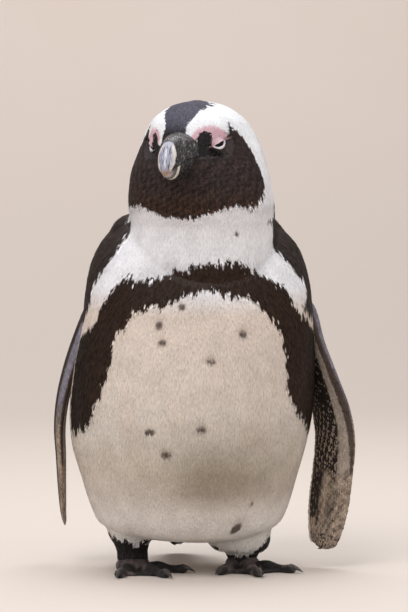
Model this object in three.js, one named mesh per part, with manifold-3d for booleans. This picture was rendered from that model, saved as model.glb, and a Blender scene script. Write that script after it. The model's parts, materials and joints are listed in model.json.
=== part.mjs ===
// African penguin (Spheniscus demersus), life size, standing still with its neck drawn in and its
// head turned to its own right. Units are millimetres and +Z is up. The bird faces -Y, so its left
// side is at +X. The origin is on the floor, below the middle of the whole bird.
// The solids are the outline of the plumage: every form is a stack of rings, and the forms are cut
// apart into the parts that a person would name, with a thin gap between neighbours.
import * as THREE from "three";
import { mergeVertices } from "three/addons/utils/BufferGeometryUtils.js";
import Module from "manifold-3d";

const wasm = await Module();
wasm.setup();

// ---- Driving dimensions -----------------------------------------------------------------------
const CROWN_HEIGHT = 409; // floor to crown, neck drawn in
const HEAD_TURN = THREE.MathUtils.degToRad(-23); // turn of the head about the neck, to the bird's right
const HEAD_LEAN = { shift: -2.5, from: 300, to: 352 }; // sideways shift, growing between two heights
const GAP = 0.3; // between neighbouring parts
const BODY_SIDES = 32; // facets round the body's rings
const LIMB_SIDES = 12; // round a flipper, the tail, the bill and the legs
const CLAW_SIDES = 8;
const TOE_SIDES = 10;
const LEFT = 1; // the side of a part, as the sign of its X
const RIGHT = -1;

// The neck's own axis, which the head turns about.
const NECK_X = 6;
const NECK_Y = -10;

// Trunk rings, from the vent up to the base of the neck. y is where a ring is widest, and front
// and back are its reach from there.
const TRUNK = [
  { z: 23.5, x: 4, y: 6, side: 0, front: 0, back: 0 },
  { z: 25, x: 4, y: 6, side: 34, front: 32, back: 30 },
  { z: 31, x: -1, y: 4, side: 61, front: 56, back: 47 },
  { z: 41, x: -3.5, y: 2, side: 79, front: 72, back: 60 },
  { z: 56, x: -4, y: 1, side: 87, front: 83, back: 68 },
  { z: 82, x: -4.5, y: 0, side: 95, front: 93, back: 76 },
  { z: 113, x: -4.5, y: -1, side: 103.5, front: 100, back: 80 },
  { z: 146, x: -2.5, y: -2, side: 107, front: 101, back: 82 },
  { z: 182, x: 0, y: -2, side: 105.5, front: 97, back: 82 },
  { z: 216, x: 3, y: 0, side: 101.5, front: 91, back: 78 },
  { z: 244, x: 4, y: 4, side: 99, front: 84, back: 72 },
  { z: 266, x: 4.5, y: 9, side: 94.5, front: 74, back: 64 },
  { z: 283, x: 5, y: 13, side: 87, front: 60, back: 56 },
  { z: 297, x: 4.5, y: 16, side: 76, front: 45, back: 49 },
  { z: 307, x: 4.5, y: 18, side: 67, front: 32, back: 42 },
  { z: 313, x: 5, y: 18, side: 50, front: 20, back: 33 },
  { z: 316, x: 6, y: 18, side: 0, front: 0, back: 0 },
];

// Rings of the head and drawn-in neck, in the head's own frame: front and back are measured from
// the neck's axis, turn is the share of HEAD_TURN, and point is 2 for a round front and less for
// one that narrows towards the bill.
const HOOD = [
  { z: 205, side: 0, front: 0, back: 0, turn: 0, point: 2 },
  { z: 212, side: 46, front: 48, back: 48, turn: 0, point: 2 },
  { z: 236, side: 60, front: 63, back: 61, turn: 0, point: 2 },
  { z: 262, side: 64, front: 64, back: 65, turn: 0.1, point: 2 },
  { z: 285, side: 63.5, front: 59.5, back: 65, turn: 0.4, point: 2 },
  { z: 299, side: 63, front: 58, back: 64, turn: 0.75, point: 2 },
  { z: 309, side: 63.5, front: 63, back: 63.5, turn: 0.95, point: 2 },
  { z: 320, side: 64, front: 66.5, back: 62.5, turn: 1, point: 2 },
  { z: 333, side: 62.5, front: 67, back: 61, turn: 1, point: 1.9 },
  { z: 347, side: 60.5, front: 68.5, back: 58.5, turn: 1, point: 1.7 },
  { z: 360, side: 57, front: 69.5, back: 54.5, turn: 1, point: 1.5 },
  { z: 372, side: 52.5, front: 68.5, back: 49, turn: 1, point: 1.46 },
  { z: 383, side: 47, front: 63.5, back: 42, turn: 1, point: 1.6 },
  { z: 393, side: 39.5, front: 54.5, back: 33, turn: 1, point: 1.85 },
  { z: 401, side: 29, front: 41, back: 21, turn: 1, point: 2 },
  { z: 406, side: 18, front: 28, back: 6, turn: 1, point: 2 },
  { z: CROWN_HEIGHT, side: 0, front: 11, back: -11, turn: 1, point: 2 },
];

// Where the hood is parted: the head from the neck at the lower edge of the black face, and the
// neck from the trunk along a slope that clears the shoulders.
const HEAD_CUT = { point: [0, -60, 301], slope: 0.14 };
const NECK_CUT = { point: [0, -70, 262], slope: 0.2 };

// The eyes, in the head's frame: forward of the neck's axis, out to each side, and height.
const EYE = { forward: 39, out: 25.2, height: 370.5, radius: 9 };
const EYE_SURFACE = { forward: 44, out: 31.5 }; // where the head's surface lies over the eye
const SOCKET = { spread: 11, depth: 2.5 }; // shallow hollow that each eye lies in
const BROW = { above: 13, spread: 10, rise: 1.6 }; // swelling of the white brow over the eye

// Bill rings, in the head's frame: [forward, height] on the ridge and on the cutting edge below
// it for the upper half, and half the width between them.
const BILL_UPPER = [
  { ridge: [34, 374], edge: [31, 366], half: 9 },
  { ridge: [44, 379], edge: [41, 363], half: 18.5 },
  { ridge: [62, 381], edge: [57, 361.5], half: 17.6 },
  { ridge: [78, 379], edge: [71, 359.2], half: 14 },
  { ridge: [91, 374.5], edge: [83, 356.8], half: 11.8 },
  { ridge: [101, 366.5], edge: [92, 353.8], half: 10.2 },
  { ridge: [107, 356.5], edge: [99.5, 349.8], half: 7 },
  { ridge: [108.5, 349.5], edge: [104.5, 346.5], half: 3.2 },
];
const BILL_TIP = [107, 343];
const BILL_LOWER = [
  { edge: [31, 362], keel: [33, 354], half: 8 },
  { edge: [41, 362.3], keel: [43, 347], half: 16.2 },
  { edge: [57, 360.8], keel: [59, 343], half: 15.4 },
  { edge: [71, 358.5], keel: [73, 340.8], half: 12 },
  { edge: [83, 356.1], keel: [85, 340.5], half: 10.2 },
  { edge: [91, 353.4], keel: [93, 341.5], half: 8.4 },
  { edge: [96, 350.8], keel: [98, 344], half: 5.4 },
];
const BILL_LOWER_TIP = [99.8, 346.8];

// Flippers, from inside the shoulder to the tip. lead and trail are the chord ahead of and behind
// the path, thick is half the thickness, and twist turns the leading edge outwards, in degrees.
const FLIPPER_LEFT = {
  side: LEFT,
  rings: [
    { at: [84, 8, 246], lead: 10, trail: 10, thick: 7, twist: 16 },
    { at: [96.5, 6, 226], lead: 17, trail: 15, thick: 8.5, twist: 20 },
    { at: [103, 3, 196], lead: 21, trail: 20, thick: 8, twist: 24 },
    { at: [112, 0, 166], lead: 23.5, trail: 23, thick: 7, twist: 29 },
    { at: [120, -2, 138], lead: 25, trail: 24.5, thick: 6.2, twist: 34 },
    { at: [123.5, -3, 112], lead: 24.5, trail: 24, thick: 5.2, twist: 38 },
    { at: [121.5, -4, 84], lead: 23, trail: 23, thick: 4.4, twist: 42 },
    { at: [118, -4, 56], lead: 21.5, trail: 21.5, thick: 3.7, twist: 46 },
    { at: [115, -3, 33], lead: 17.5, trail: 17.5, thick: 3, twist: 50 },
    { at: [112, -2, 21], lead: 12.5, trail: 12.5, thick: 2.2, twist: 52 },
  ],
  tip: [110.5, -1.5, 16.5],
};
const FLIPPER_RIGHT = {
  side: RIGHT,
  rings: [
    { at: [-78, 12, 246], lead: 10, trail: 10, thick: 7, twist: 4 },
    { at: [-87, 12, 226], lead: 17, trail: 15, thick: 8.5, twist: 4 },
    { at: [-98, 14, 200], lead: 21, trail: 20, thick: 8, twist: 4 },
    { at: [-107, 17, 174], lead: 23.5, trail: 23, thick: 7.2, twist: 4 },
    { at: [-113, 22, 148], lead: 25.5, trail: 24.5, thick: 6.4, twist: 5 },
    { at: [-115, 29, 123], lead: 25, trail: 24, thick: 5.8, twist: 5 },
    { at: [-113.5, 36, 97], lead: 23.5, trail: 23, thick: 5.2, twist: 5 },
    { at: [-112, 44, 70], lead: 20.5, trail: 20, thick: 4.4, twist: 5 },
    { at: [-110.5, 50, 49], lead: 15, trail: 15, thick: 3.4, twist: 5 },
    { at: [-109, 54, 38], lead: 8, trail: 8, thick: 2.2, twist: 5 },
  ],
  tip: [-108.5, 55.5, 33.5],
};

// The tail: a short flat wedge that ends just clear of the floor.
const TAIL = {
  rings: [
    { at: [-2, 46, 66], side: 20, thick: 12 },
    { at: [-2, 66, 56], side: 27, thick: 12 },
    { at: [-2, 84, 42], side: 26, thick: 8.5 },
    { at: [-2, 98, 28], side: 20, thick: 5 },
    { at: [-2, 107, 17], side: 12, thick: 2.8 },
    { at: [-2, 111, 11], side: 5, thick: 1.4 },
  ],
  root: [-2, 34, 68],
  tip: [-2, 113, 8],
};

// Each leg: feathered thigh, then the bare shank that ends in the ankle. The bird's weight is a
// little more on its left leg, whose thigh feathers reach lower.
const LEG_RIGHT = {
  rings: [
    { at: [-54, 2, 62], side: 22, front: 26, back: 26 },
    { at: [-55, 0, 46], side: 25, front: 27, back: 27 },
    { at: [-56, 0, 32], side: 20.5, front: 21, back: 22 },
    { at: [-55, 0, 23], side: 16.5, front: 16.5, back: 18 },
    { at: [-54.5, 0, 16], side: 14.5, front: 13.5, back: 14 },
    { at: [-54, -1, 9], side: 14, front: 13, back: 13 },
  ],
  top: [-54, 4, 72],
  foot: [-54, -1, 5],
};
const LEG_LEFT = {
  rings: [
    { at: [36, 2, 62], side: 26, front: 28, back: 28 },
    { at: [37, 0, 44], side: 31, front: 31, back: 30 },
    { at: [38, 0, 28], side: 30, front: 28, back: 28 },
    { at: [40, -1, 18], side: 25, front: 23, back: 23 },
    { at: [42, -1, 13.5], side: 15.5, front: 15, back: 15 },
    { at: [42, -1, 9], side: 14, front: 13, back: 13 },
  ],
  top: [36, 4, 74],
  foot: [42, -1, 5],
};

// Feet: three webbed front toes and a small hind toe. heading is the middle toe's direction, in
// degrees from straight ahead towards the bird's left.
const TOE_HALF = 6.2;
const TOE_HEIGHT = 9.5;
const WEB_THICK = 3.2;
const TOES = [
  { name: "inner", spread: -36, length: 50 },
  { name: "middle", spread: 0, length: 62 },
  { name: "outer", spread: 40, length: 55 },
];
const CLAW_LENGTH = 15;
const CLAW_HALF = 3.1;
const FOOT_RIGHT = { side: RIGHT, ankle: [-54, -1], heading: 22 };
const FOOT_LEFT = { side: LEFT, ankle: [42, -1], heading: 6 };

// ---- Building blocks --------------------------------------------------------------------------

// A closed skin over rings of points, with a single point at each end.
function skinOver(first, rings, last) {
  const count = rings[0].length;
  const points = [first, ...rings.flat(), last];
  const faces = [];
  const at = (ring, step) => 1 + ring * count + (step % count);
  for (let step = 0; step < count; step++) {
    faces.push(0, at(0, step), at(0, step + 1));
    for (let ring = 0; ring + 1 < rings.length; ring++) {
      faces.push(at(ring, step), at(ring + 1, step), at(ring + 1, step + 1));
      faces.push(at(ring, step), at(ring + 1, step + 1), at(ring, step + 1));
    }
    const end = rings.length - 1;
    faces.push(at(end, step), points.length - 1, at(end, step + 1));
  }
  const geometry = new THREE.BufferGeometry();
  const flat = points.flatMap((p) => [p.x, p.y, p.z]);
  geometry.setAttribute("position", new THREE.Float32BufferAttribute(flat, 3));
  geometry.setIndex(faces);
  return geometry;
}

// A geometry as a solid that faces outwards.
function solidOf(geometry) {
  const bare = geometry.clone();
  bare.deleteAttribute("normal");
  bare.deleteAttribute("uv");
  const merged = mergeVertices(bare, 1e-4);
  const build = (triVerts) =>
    new wasm.Manifold(
      new wasm.Mesh({ numProp: 3, vertProperties: merged.attributes.position.array, triVerts }),
    );
  const faces = new Uint32Array(merged.index.array);
  const made = build(faces);
  return made.volume() > 0 ? made : build(faces.slice().reverse());
}

// A solid back as a geometry that three.js can draw.
function geometryOf(solid) {
  const mesh = solid.getMesh();
  const geometry = new THREE.BufferGeometry();
  geometry.setAttribute("position", new THREE.Float32BufferAttribute(mesh.vertProperties, 3));
  geometry.setIndex(Array.from(mesh.triVerts));
  geometry.computeVertexNormals();
  return geometry;
}

// The Catmull-Rom value between the second and third of four neighbours.
function between(a, b, c, d, t) {
  const bend = 2 * a - 5 * b + 4 * c - d;
  return b + 0.5 * t * (c - a + t * (bend + t * (3 * (b - c) + d - a)));
}

// Stations thickened to a smooth run: each number in them is interpolated at steps per span.
function smoothRun(stations, steps) {
  const keys = Object.keys(stations[0]);
  const run = [];
  const last = stations.length - 1;
  const near = (i) => stations[Math.min(Math.max(i, 0), last)];
  const mix = (i, t, read) => between(read(near(i - 1)), read(near(i)), read(near(i + 1)), read(near(i + 2)), t);
  for (let k = 0; k <= last * steps; k++) {
    const i = Math.min(Math.floor(k / steps), last - 1);
    const t = k / steps - i;
    const station = {};
    for (const key of keys) {
      station[key] = Array.isArray(near(i)[key])
        ? near(i)[key].map((_, axis) => mix(i, t, (s) => s[key][axis]))
        : mix(i, t, (s) => s[key]);
    }
    run.push(station);
  }
  return run;
}

// Steps round a ring, as angles.
function turns(count) {
  return Array.from({ length: count }, (_, k) => (2 * Math.PI * k) / count);
}

// A power of a number that keeps its sign, for rings that are squarer or sharper than an ellipse.
function signedPower(value, power) {
  return Math.sign(value) * Math.abs(value) ** power;
}

// A block that fills everything above a plane, which rises by slope for each millimetre of +Y.
function spaceAbove({ point, slope }, lift) {
  const reach = 1200;
  const block = new THREE.BoxGeometry(reach, reach, reach).translate(0, 0, reach / 2 + lift);
  block.rotateX(Math.atan(slope)).translate(...point);
  return solidOf(block);
}

// ---- Trunk ------------------------------------------------------------------------------------
function trunkForm(grow = 0) {
  const run = smoothRun(TRUNK, 2);
  const rings = run.slice(1, -1).map((ring) =>
    turns(BODY_SIDES).map((angle) => {
      const forward = Math.cos(angle);
      const depth = forward > 0 ? ring.front : ring.back;
      return new THREE.Vector3(
        ring.x + Math.sin(angle) * (ring.side + grow),
        ring.y - forward * (depth + grow),
        ring.z,
      );
    }),
  );
  const [bottom, top] = [run[0], run.at(-1)];
  return solidOf(
    skinOver(
      new THREE.Vector3(bottom.x, bottom.y, bottom.z - grow),
      rings,
      new THREE.Vector3(top.x, top.y, top.z + grow),
    ),
  );
}

// ---- Head and neck ----------------------------------------------------------------------------

// A point of the head's frame (forward of the neck's axis, towards the bird's left, height).
function inHead(forward, left, height, turn = 1) {
  const yaw = HEAD_TURN * turn;
  const lean = HEAD_LEAN.shift * THREE.MathUtils.smoothstep(height, HEAD_LEAN.from, HEAD_LEAN.to);
  return new THREE.Vector3(
    NECK_X + lean + forward * Math.sin(yaw) + left * Math.cos(yaw),
    NECK_Y - forward * Math.cos(yaw) + left * Math.sin(yaw),
    height,
  );
}

// How far the brow and the eye's hollow move the head's surface outwards at a point.
function faceRelief(forward, left, height) {
  const aside = (forward - EYE_SURFACE.forward) ** 2 + (Math.abs(left) - EYE_SURFACE.out) ** 2;
  const reach = (up) => aside + (height - EYE.height - up) ** 2;
  const bump = (up, spread) => Math.exp(-reach(up) / (spread * spread));
  return BROW.rise * bump(BROW.above, BROW.spread) - SOCKET.depth * bump(0, SOCKET.spread);
}

function hoodForm(grow = 0) {
  const rings = HOOD.slice(1, -1).map((ring) =>
    turns(BODY_SIDES).map((angle) => {
      const ahead = Math.cos(angle);
      const power = ahead > 0 ? 2 / ring.point : 1;
      const depth = ahead > 0 ? ring.front : ring.back;
      let forward = signedPower(ahead, power) * depth;
      let left = signedPower(Math.sin(angle), power) * ring.side;
      const swell = grow + faceRelief(forward, left, ring.z);
      const out = 1 + swell / Math.max(Math.hypot(forward, left), 20);
      return inHead(forward * out, left * out, ring.z, ring.turn);
    }),
  );
  const [bottom, top] = [HOOD[0], HOOD.at(-1)];
  const middle = (top.front - top.back) / 2;
  return solidOf(
    skinOver(inHead(0, 0, bottom.z, 0), rings, inHead(middle, 0, top.z + grow, 1)),
  );
}

// ---- Bill -------------------------------------------------------------------------------------

// Rings between a top and a bottom line of the bill's side view, round above and flat below, or
// the other way up for the lower half.
function billForm(stations, tip, upper, round) {
  const [domed, flat] = upper ? ["ridge", "edge"] : ["keel", "edge"];
  const run = smoothRun(stations, 2);
  const flatShare = 0.16; // share of the depth that lies on the flat side of the widest line
  const rings = run.map((ring) =>
    turns(LIMB_SIDES).map((angle) => {
      const up = Math.cos(angle);
      const share = up > 0 ? flatShare + (1 - flatShare) * up : flatShare * (1 + up);
      const left = signedPower(Math.sin(angle), round) * ring.half;
      return inHead(
        THREE.MathUtils.lerp(ring[flat][0], ring[domed][0], share),
        left,
        THREE.MathUtils.lerp(ring[flat][1], ring[domed][1], share),
      );
    }),
  );
  const [start] = run;
  const root = inHead((start[domed][0] + start[flat][0]) / 2 - 2, 0, (start[domed][1] + start[flat][1]) / 2);
  return solidOf(skinOver(root, rings, inHead(tip[0], 0, tip[1])));
}

// ---- Flippers ---------------------------------------------------------------------------------
function flipperForm({ side, rings: stations, tip }) {
  const run = smoothRun(stations, 2);
  const path = run.map((ring) => new THREE.Vector3(...ring.at));
  const rings = run.map((ring, k) => {
    const along = path[Math.min(k + 1, path.length - 1)].clone().sub(path[Math.max(k - 1, 0)]).normalize();
    const twist = THREE.MathUtils.degToRad(ring.twist);
    const lead = new THREE.Vector3(side * Math.sin(twist), -Math.cos(twist), 0);
    lead.addScaledVector(along, -lead.dot(along)).normalize();
    const flat = new THREE.Vector3().crossVectors(along, lead);
    return turns(LIMB_SIDES).map((angle) => {
      const ahead = Math.cos(angle);
      const chord = ahead * (ahead > 0 ? ring.lead : ring.trail);
      const thinning = 1 + 0.45 * Math.min(ahead, 0); // towards the trailing edge
      return path[k]
        .clone()
        .addScaledVector(lead, chord)
        .addScaledVector(flat, Math.sin(angle) * ring.thick * thinning);
    });
  });
  const root = path[0].clone().add(new THREE.Vector3(-side * 8, 2, 8));
  return solidOf(skinOver(root, rings, new THREE.Vector3(...tip)));
}

// ---- Tail -------------------------------------------------------------------------------------
function tailForm() {
  const run = smoothRun(TAIL.rings, 2);
  const path = run.map((ring) => new THREE.Vector3(...ring.at));
  const rings = run.map((ring, k) => {
    const along = path[Math.min(k + 1, path.length - 1)].clone().sub(path[Math.max(k - 1, 0)]).normalize();
    const across = new THREE.Vector3(1, 0, 0);
    const up = new THREE.Vector3().crossVectors(across, along);
    return turns(LIMB_SIDES).map((angle) =>
      path[k]
        .clone()
        .addScaledVector(across, Math.sin(angle) * ring.side)
        .addScaledVector(up, Math.cos(angle) * ring.thick),
    );
  });
  return solidOf(skinOver(new THREE.Vector3(...TAIL.root), rings, new THREE.Vector3(...TAIL.tip)));
}

// ---- Legs -------------------------------------------------------------------------------------
function legForm({ rings: stations, top, foot }, grow = 0) {
  const rings = smoothRun(stations, 1).map((ring) =>
    turns(LIMB_SIDES + 2).map((angle) => {
      const forward = Math.cos(angle);
      const depth = forward > 0 ? ring.front : ring.back;
      return new THREE.Vector3(
        ring.at[0] + Math.sin(angle) * (ring.side + grow),
        ring.at[1] - forward * (depth + grow),
        ring.at[2],
      );
    }),
  );
  return solidOf(
    skinOver(new THREE.Vector3(...top), rings, new THREE.Vector3(foot[0], foot[1], foot[2] - grow)),
  );
}

// ---- Feet -------------------------------------------------------------------------------------

// A direction on the floor, turned from straight ahead towards the bird's left.
function heading(degrees) {
  const turn = THREE.MathUtils.degToRad(degrees);
  return new THREE.Vector3(Math.sin(turn), -Math.cos(turn), 0);
}

// A toe as a low ridge of rings, swollen at its two joints, which starts under the ankle.
function toeForm(ankle, direction, length, size = 1) {
  const across = new THREE.Vector3(-direction.y, direction.x, 0);
  const steps = 6;
  const rings = Array.from({ length: steps + 1 }, (_, k) => {
    const share = k / steps;
    const joints = 1 + 0.13 * Math.cos(share * 4 * Math.PI);
    const half = TOE_HALF * size * joints * (1 - 0.28 * share);
    const height = TOE_HEIGHT * size * joints * (1 - 0.3 * share);
    return turns(TOE_SIDES).map((angle) => {
      const up = Math.cos(angle);
      return ankle
        .clone()
        .addScaledVector(direction, share * length)
        .addScaledVector(across, Math.sin(angle) * half)
        .add(new THREE.Vector3(0, 0, up > 0 ? height * (0.4 + 0.6 * up) : height * (0.4 + 0.5 * up)));
    });
  });
  const end = ankle.clone().addScaledVector(direction, length + 3 * size);
  const start = ankle.clone().addScaledVector(direction, -3 * size);
  const middle = new THREE.Vector3(0, 0, TOE_HEIGHT * size * 0.35);
  return solidOf(skinOver(start.add(middle), rings, end.add(middle)));
}

// The web between two toes: a thin plate with a hollow front edge.
function webForm(ankle, first, second, reach) {
  const from = ankle.clone().addScaledVector(first.direction, first.length * reach);
  const to = ankle.clone().addScaledVector(second.direction, second.length * reach);
  const middle = first.direction.clone().add(second.direction).normalize();
  const hollow = ankle.clone().addScaledVector(middle, Math.min(first.length, second.length) * reach * 0.72);
  const outline = new THREE.Shape();
  outline.moveTo(ankle.x, ankle.y);
  outline.lineTo(from.x, from.y);
  outline.quadraticCurveTo(hollow.x, hollow.y, to.x, to.y);
  outline.closePath();
  const plate = new THREE.ExtrudeGeometry(outline, { depth: WEB_THICK, bevelEnabled: false, curveSegments: 6 });
  return solidOf(plate);
}

// A claw: a curved spike from inside the toe's end down to the floor.
function clawForm(ankle, direction, length, size = 1) {
  const across = new THREE.Vector3(-direction.y, direction.x, 0);
  const steps = 4;
  const rings = Array.from({ length: steps }, (_, k) => {
    const share = k / steps;
    const half = CLAW_HALF * size * (1 - share) ** 0.7;
    const height = 5.6 * size - 4.2 * size * share * share;
    return turns(CLAW_SIDES).map((angle) =>
      ankle
        .clone()
        .addScaledVector(direction, length - 4 * size + share * CLAW_LENGTH * size)
        .addScaledVector(across, Math.sin(angle) * half)
        .add(new THREE.Vector3(0, 0, height + Math.cos(angle) * half * 0.95)),
    );
  });
  const start = ankle.clone().addScaledVector(direction, length - 6 * size);
  const end = ankle.clone().addScaledVector(direction, length - 4 * size + CLAW_LENGTH * size);
  start.z = 5.6 * size;
  end.z = 0.7;
  return solidOf(skinOver(start, rings, end));
}

// Everything of one foot: the webbed foot with its flat sole, and its claws by toe name.
function footForms(foot) {
  const ankle = new THREE.Vector3(foot.ankle[0], foot.ankle[1], 0);
  const toes = TOES.map((toe) => ({
    ...toe,
    direction: heading(foot.heading + toe.spread * foot.side),
  }));
  const hind = { name: "hind", length: 13, direction: heading(foot.heading - 118 * foot.side) };
  const pad = solidOf(
    new THREE.SphereGeometry(1, 16, 10).rotateX(Math.PI / 2).scale(15.5, 15, 9.5).translate(ankle.x, ankle.y - 2, 4.5),
  );
  let webbed = pad;
  for (const toe of toes) webbed = webbed.add(toeForm(ankle, toe.direction, toe.length));
  webbed = webbed.add(toeForm(ankle, hind.direction, hind.length, 0.62));
  for (let k = 0; k + 1 < toes.length; k++) webbed = webbed.add(webForm(ankle, toes[k], toes[k + 1], 0.86));
  const floor = { point: [0, 0, 0], slope: 0 };
  webbed = webbed.intersect(spaceAbove(floor, 0));
  const claws = toes.map((toe) => ({ name: toe.name, solid: clawForm(ankle, toe.direction, toe.length) }));
  claws.push({ name: "hind", solid: clawForm(ankle, hind.direction, hind.length, 0.62) });
  return { webbed, claws };
}

// ---- Materials --------------------------------------------------------------------------------
const finish = (color, roughness) => new THREE.MeshStandardMaterial({ color, roughness, metalness: 0 });
const PLUMAGE_WHITE = finish(0xe6e0d8, 0.85);
const PLUMAGE_BLACK = finish(0x2e2624, 0.8);
const HORN_GREY = finish(0x4a4a50, 0.45);
const CLAW_HORN = finish(0x35322f, 0.4);
const FOOT_SKIN = finish(0x3c3634, 0.6);
const EYE_DARK = finish(0x1c120d, 0.1);

// ---- Parting the forms ------------------------------------------------------------------------
const bird = new THREE.Group();
bird.name = "african_penguin";

function addGroup(name) {
  const group = new THREE.Group();
  group.name = name;
  bird.add(group);
  return group;
}

// A solid as a mesh of its group, placed by the middle of its own box.
function addPart(group, name, solid, material) {
  const geometry = geometryOf(solid);
  geometry.computeBoundingBox();
  const middle = geometry.boundingBox.getCenter(new THREE.Vector3());
  const mesh = new THREE.Mesh(geometry.translate(-middle.x, -middle.y, -middle.z), material);
  mesh.position.copy(middle);
  mesh.name = name;
  group.add(mesh);
}

// The largest body of a cut solid, without the crumbs that a cut can leave.
function largest(solid) {
  return solid.decompose().reduce((a, b) => (a.volume() > b.volume() ? a : b));
}

const eyeBall = (side, grow) =>
  solidOf(
    new THREE.SphereGeometry(EYE.radius + grow, 14, 8).translate(
      ...inHead(EYE.forward, side * EYE.out, EYE.height).toArray(),
    ),
  );

const hood = hoodForm();
const grownTrunk = trunkForm(GAP);
const grownBody = grownTrunk.add(hoodForm(GAP));
const aboveHeadCut = spaceAbove(HEAD_CUT, GAP / 2);
const belowHeadCut = (solid) => solid.subtract(spaceAbove(HEAD_CUT, -GAP / 2));

const headGroup = addGroup("head_group");
let head = hood.intersect(aboveHeadCut).subtract(grownTrunk);
for (const side of [LEFT, RIGHT]) head = head.subtract(eyeBall(side, GAP));
addPart(headGroup, "head", largest(head), PLUMAGE_BLACK);
addPart(headGroup, "eye_left", eyeBall(LEFT, 0), EYE_DARK);
addPart(headGroup, "eye_right", eyeBall(RIGHT, 0), EYE_DARK);
const upper = billForm(BILL_UPPER, BILL_TIP, true, 1).subtract(grownBody);
const lower = billForm(BILL_LOWER, BILL_LOWER_TIP, false, 1).subtract(grownBody);
addPart(headGroup, "bill_upper", largest(upper), HORN_GREY);
addPart(headGroup, "bill_lower", largest(lower), HORN_GREY);

// The shoulders rise behind the neck, so the trunk is taken out of the neck above their join.
const bodyGroup = addGroup("body_group");
const neck = belowHeadCut(hood.intersect(spaceAbove(NECK_CUT, GAP / 2))).subtract(grownTrunk);
const chest = hood.subtract(spaceAbove(NECK_CUT, -GAP / 2));
addPart(bodyGroup, "neck", largest(neck), PLUMAGE_WHITE);
addPart(bodyGroup, "trunk", trunkForm().add(chest), PLUMAGE_WHITE);
addPart(bodyGroup, "tail", largest(tailForm().subtract(grownBody)), PLUMAGE_BLACK);
addPart(bodyGroup, "flipper_left", largest(flipperForm(FLIPPER_LEFT).subtract(grownBody)), PLUMAGE_BLACK);
addPart(bodyGroup, "flipper_right", largest(flipperForm(FLIPPER_RIGHT).subtract(grownBody)), PLUMAGE_BLACK);

for (const [side, leg, foot] of [
  ["left", LEG_LEFT, FOOT_LEFT],
  ["right", LEG_RIGHT, FOOT_RIGHT],
]) {
  const group = addGroup(`leg_group_${side}`);
  const { webbed, claws } = footForms(foot);
  const shank = legForm(leg).subtract(grownBody).subtract(webbed.add(webbed.translate([0, 0, GAP])));
  addPart(group, `leg_${side}`, largest(shank), PLUMAGE_WHITE);
  addPart(group, `foot_${side}`, webbed, FOOT_SKIN);
  for (const claw of claws) {
    addPart(group, `claw_${side}_${claw.name}`, largest(claw.solid.subtract(webbed)), CLAW_HORN);
  }
}

// The whole bird is moved so that the origin lies on the floor below the middle of its box.
const box = new THREE.Box3().setFromObject(bird);
const middle = box.getCenter(new THREE.Vector3());
bird.position.set(-middle.x, -middle.y, -box.min.z);

export default bird;
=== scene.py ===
# %% [markdown]
# # African penguin, standing still with its neck drawn in
#
# The imported solids hold the bird's size, pose and outline. This script gives them a body that can
# be looked at closely: one skin under everything, a coat of about a hundred thousand small vanes
# on it, a horn bill, wet eyes between soft lids, scaled feet and claws.
# The same few rings of numbers that shape the solids shape the skin, so both agree everywhere.

# %% [markdown]
# ## Start
#
# The frame holds the imported solids of the bird, each at its own place. They are loaded first and
# never moved: all that follows is measured from them, and their box is kept to clip coat and tail.

# %% Load the frame
import json
import math

import bpy
import numpy as np
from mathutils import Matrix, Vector
from mathutils.bvhtree import BVHTree

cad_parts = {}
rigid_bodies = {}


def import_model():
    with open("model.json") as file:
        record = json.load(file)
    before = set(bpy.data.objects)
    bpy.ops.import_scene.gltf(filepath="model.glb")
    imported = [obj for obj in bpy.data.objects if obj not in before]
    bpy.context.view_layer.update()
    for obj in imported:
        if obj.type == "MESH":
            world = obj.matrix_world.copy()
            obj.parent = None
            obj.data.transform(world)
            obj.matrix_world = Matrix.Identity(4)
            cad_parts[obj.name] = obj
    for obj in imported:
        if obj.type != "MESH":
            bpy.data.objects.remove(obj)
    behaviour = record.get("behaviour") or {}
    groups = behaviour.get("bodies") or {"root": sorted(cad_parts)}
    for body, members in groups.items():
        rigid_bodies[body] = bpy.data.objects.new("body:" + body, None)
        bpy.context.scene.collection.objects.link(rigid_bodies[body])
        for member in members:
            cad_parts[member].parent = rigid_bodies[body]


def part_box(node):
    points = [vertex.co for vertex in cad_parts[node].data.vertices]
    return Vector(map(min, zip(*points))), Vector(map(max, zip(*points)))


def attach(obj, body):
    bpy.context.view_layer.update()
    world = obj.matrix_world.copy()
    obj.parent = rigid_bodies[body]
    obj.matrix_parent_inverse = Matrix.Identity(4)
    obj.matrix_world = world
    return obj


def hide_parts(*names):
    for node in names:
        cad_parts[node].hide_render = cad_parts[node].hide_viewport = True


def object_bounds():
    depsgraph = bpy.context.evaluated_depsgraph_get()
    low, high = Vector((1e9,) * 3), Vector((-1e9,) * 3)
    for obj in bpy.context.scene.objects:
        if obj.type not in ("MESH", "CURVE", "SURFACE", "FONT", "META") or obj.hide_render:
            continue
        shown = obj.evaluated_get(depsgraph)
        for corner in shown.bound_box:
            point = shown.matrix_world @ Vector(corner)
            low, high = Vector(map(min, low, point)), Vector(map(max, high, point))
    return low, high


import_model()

CAD_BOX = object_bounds()
rng = np.random.default_rng(11)
print("the solids span", CAD_BOX)

# %% [markdown]
# ## Driving dimensions
#
# A bird's body has no straight edge to measure from, so its form is written as rings: at each
# height, how wide it is and how far it reaches forward and back. A few rings are enough, because a
# smooth curve fills in what lies between. Everything is in millimetres in the bird's own frame, as
# the solids are, and turned to metres at the end. The bird faces -Y, its left is +X, and heights
# are above the floor.

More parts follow.
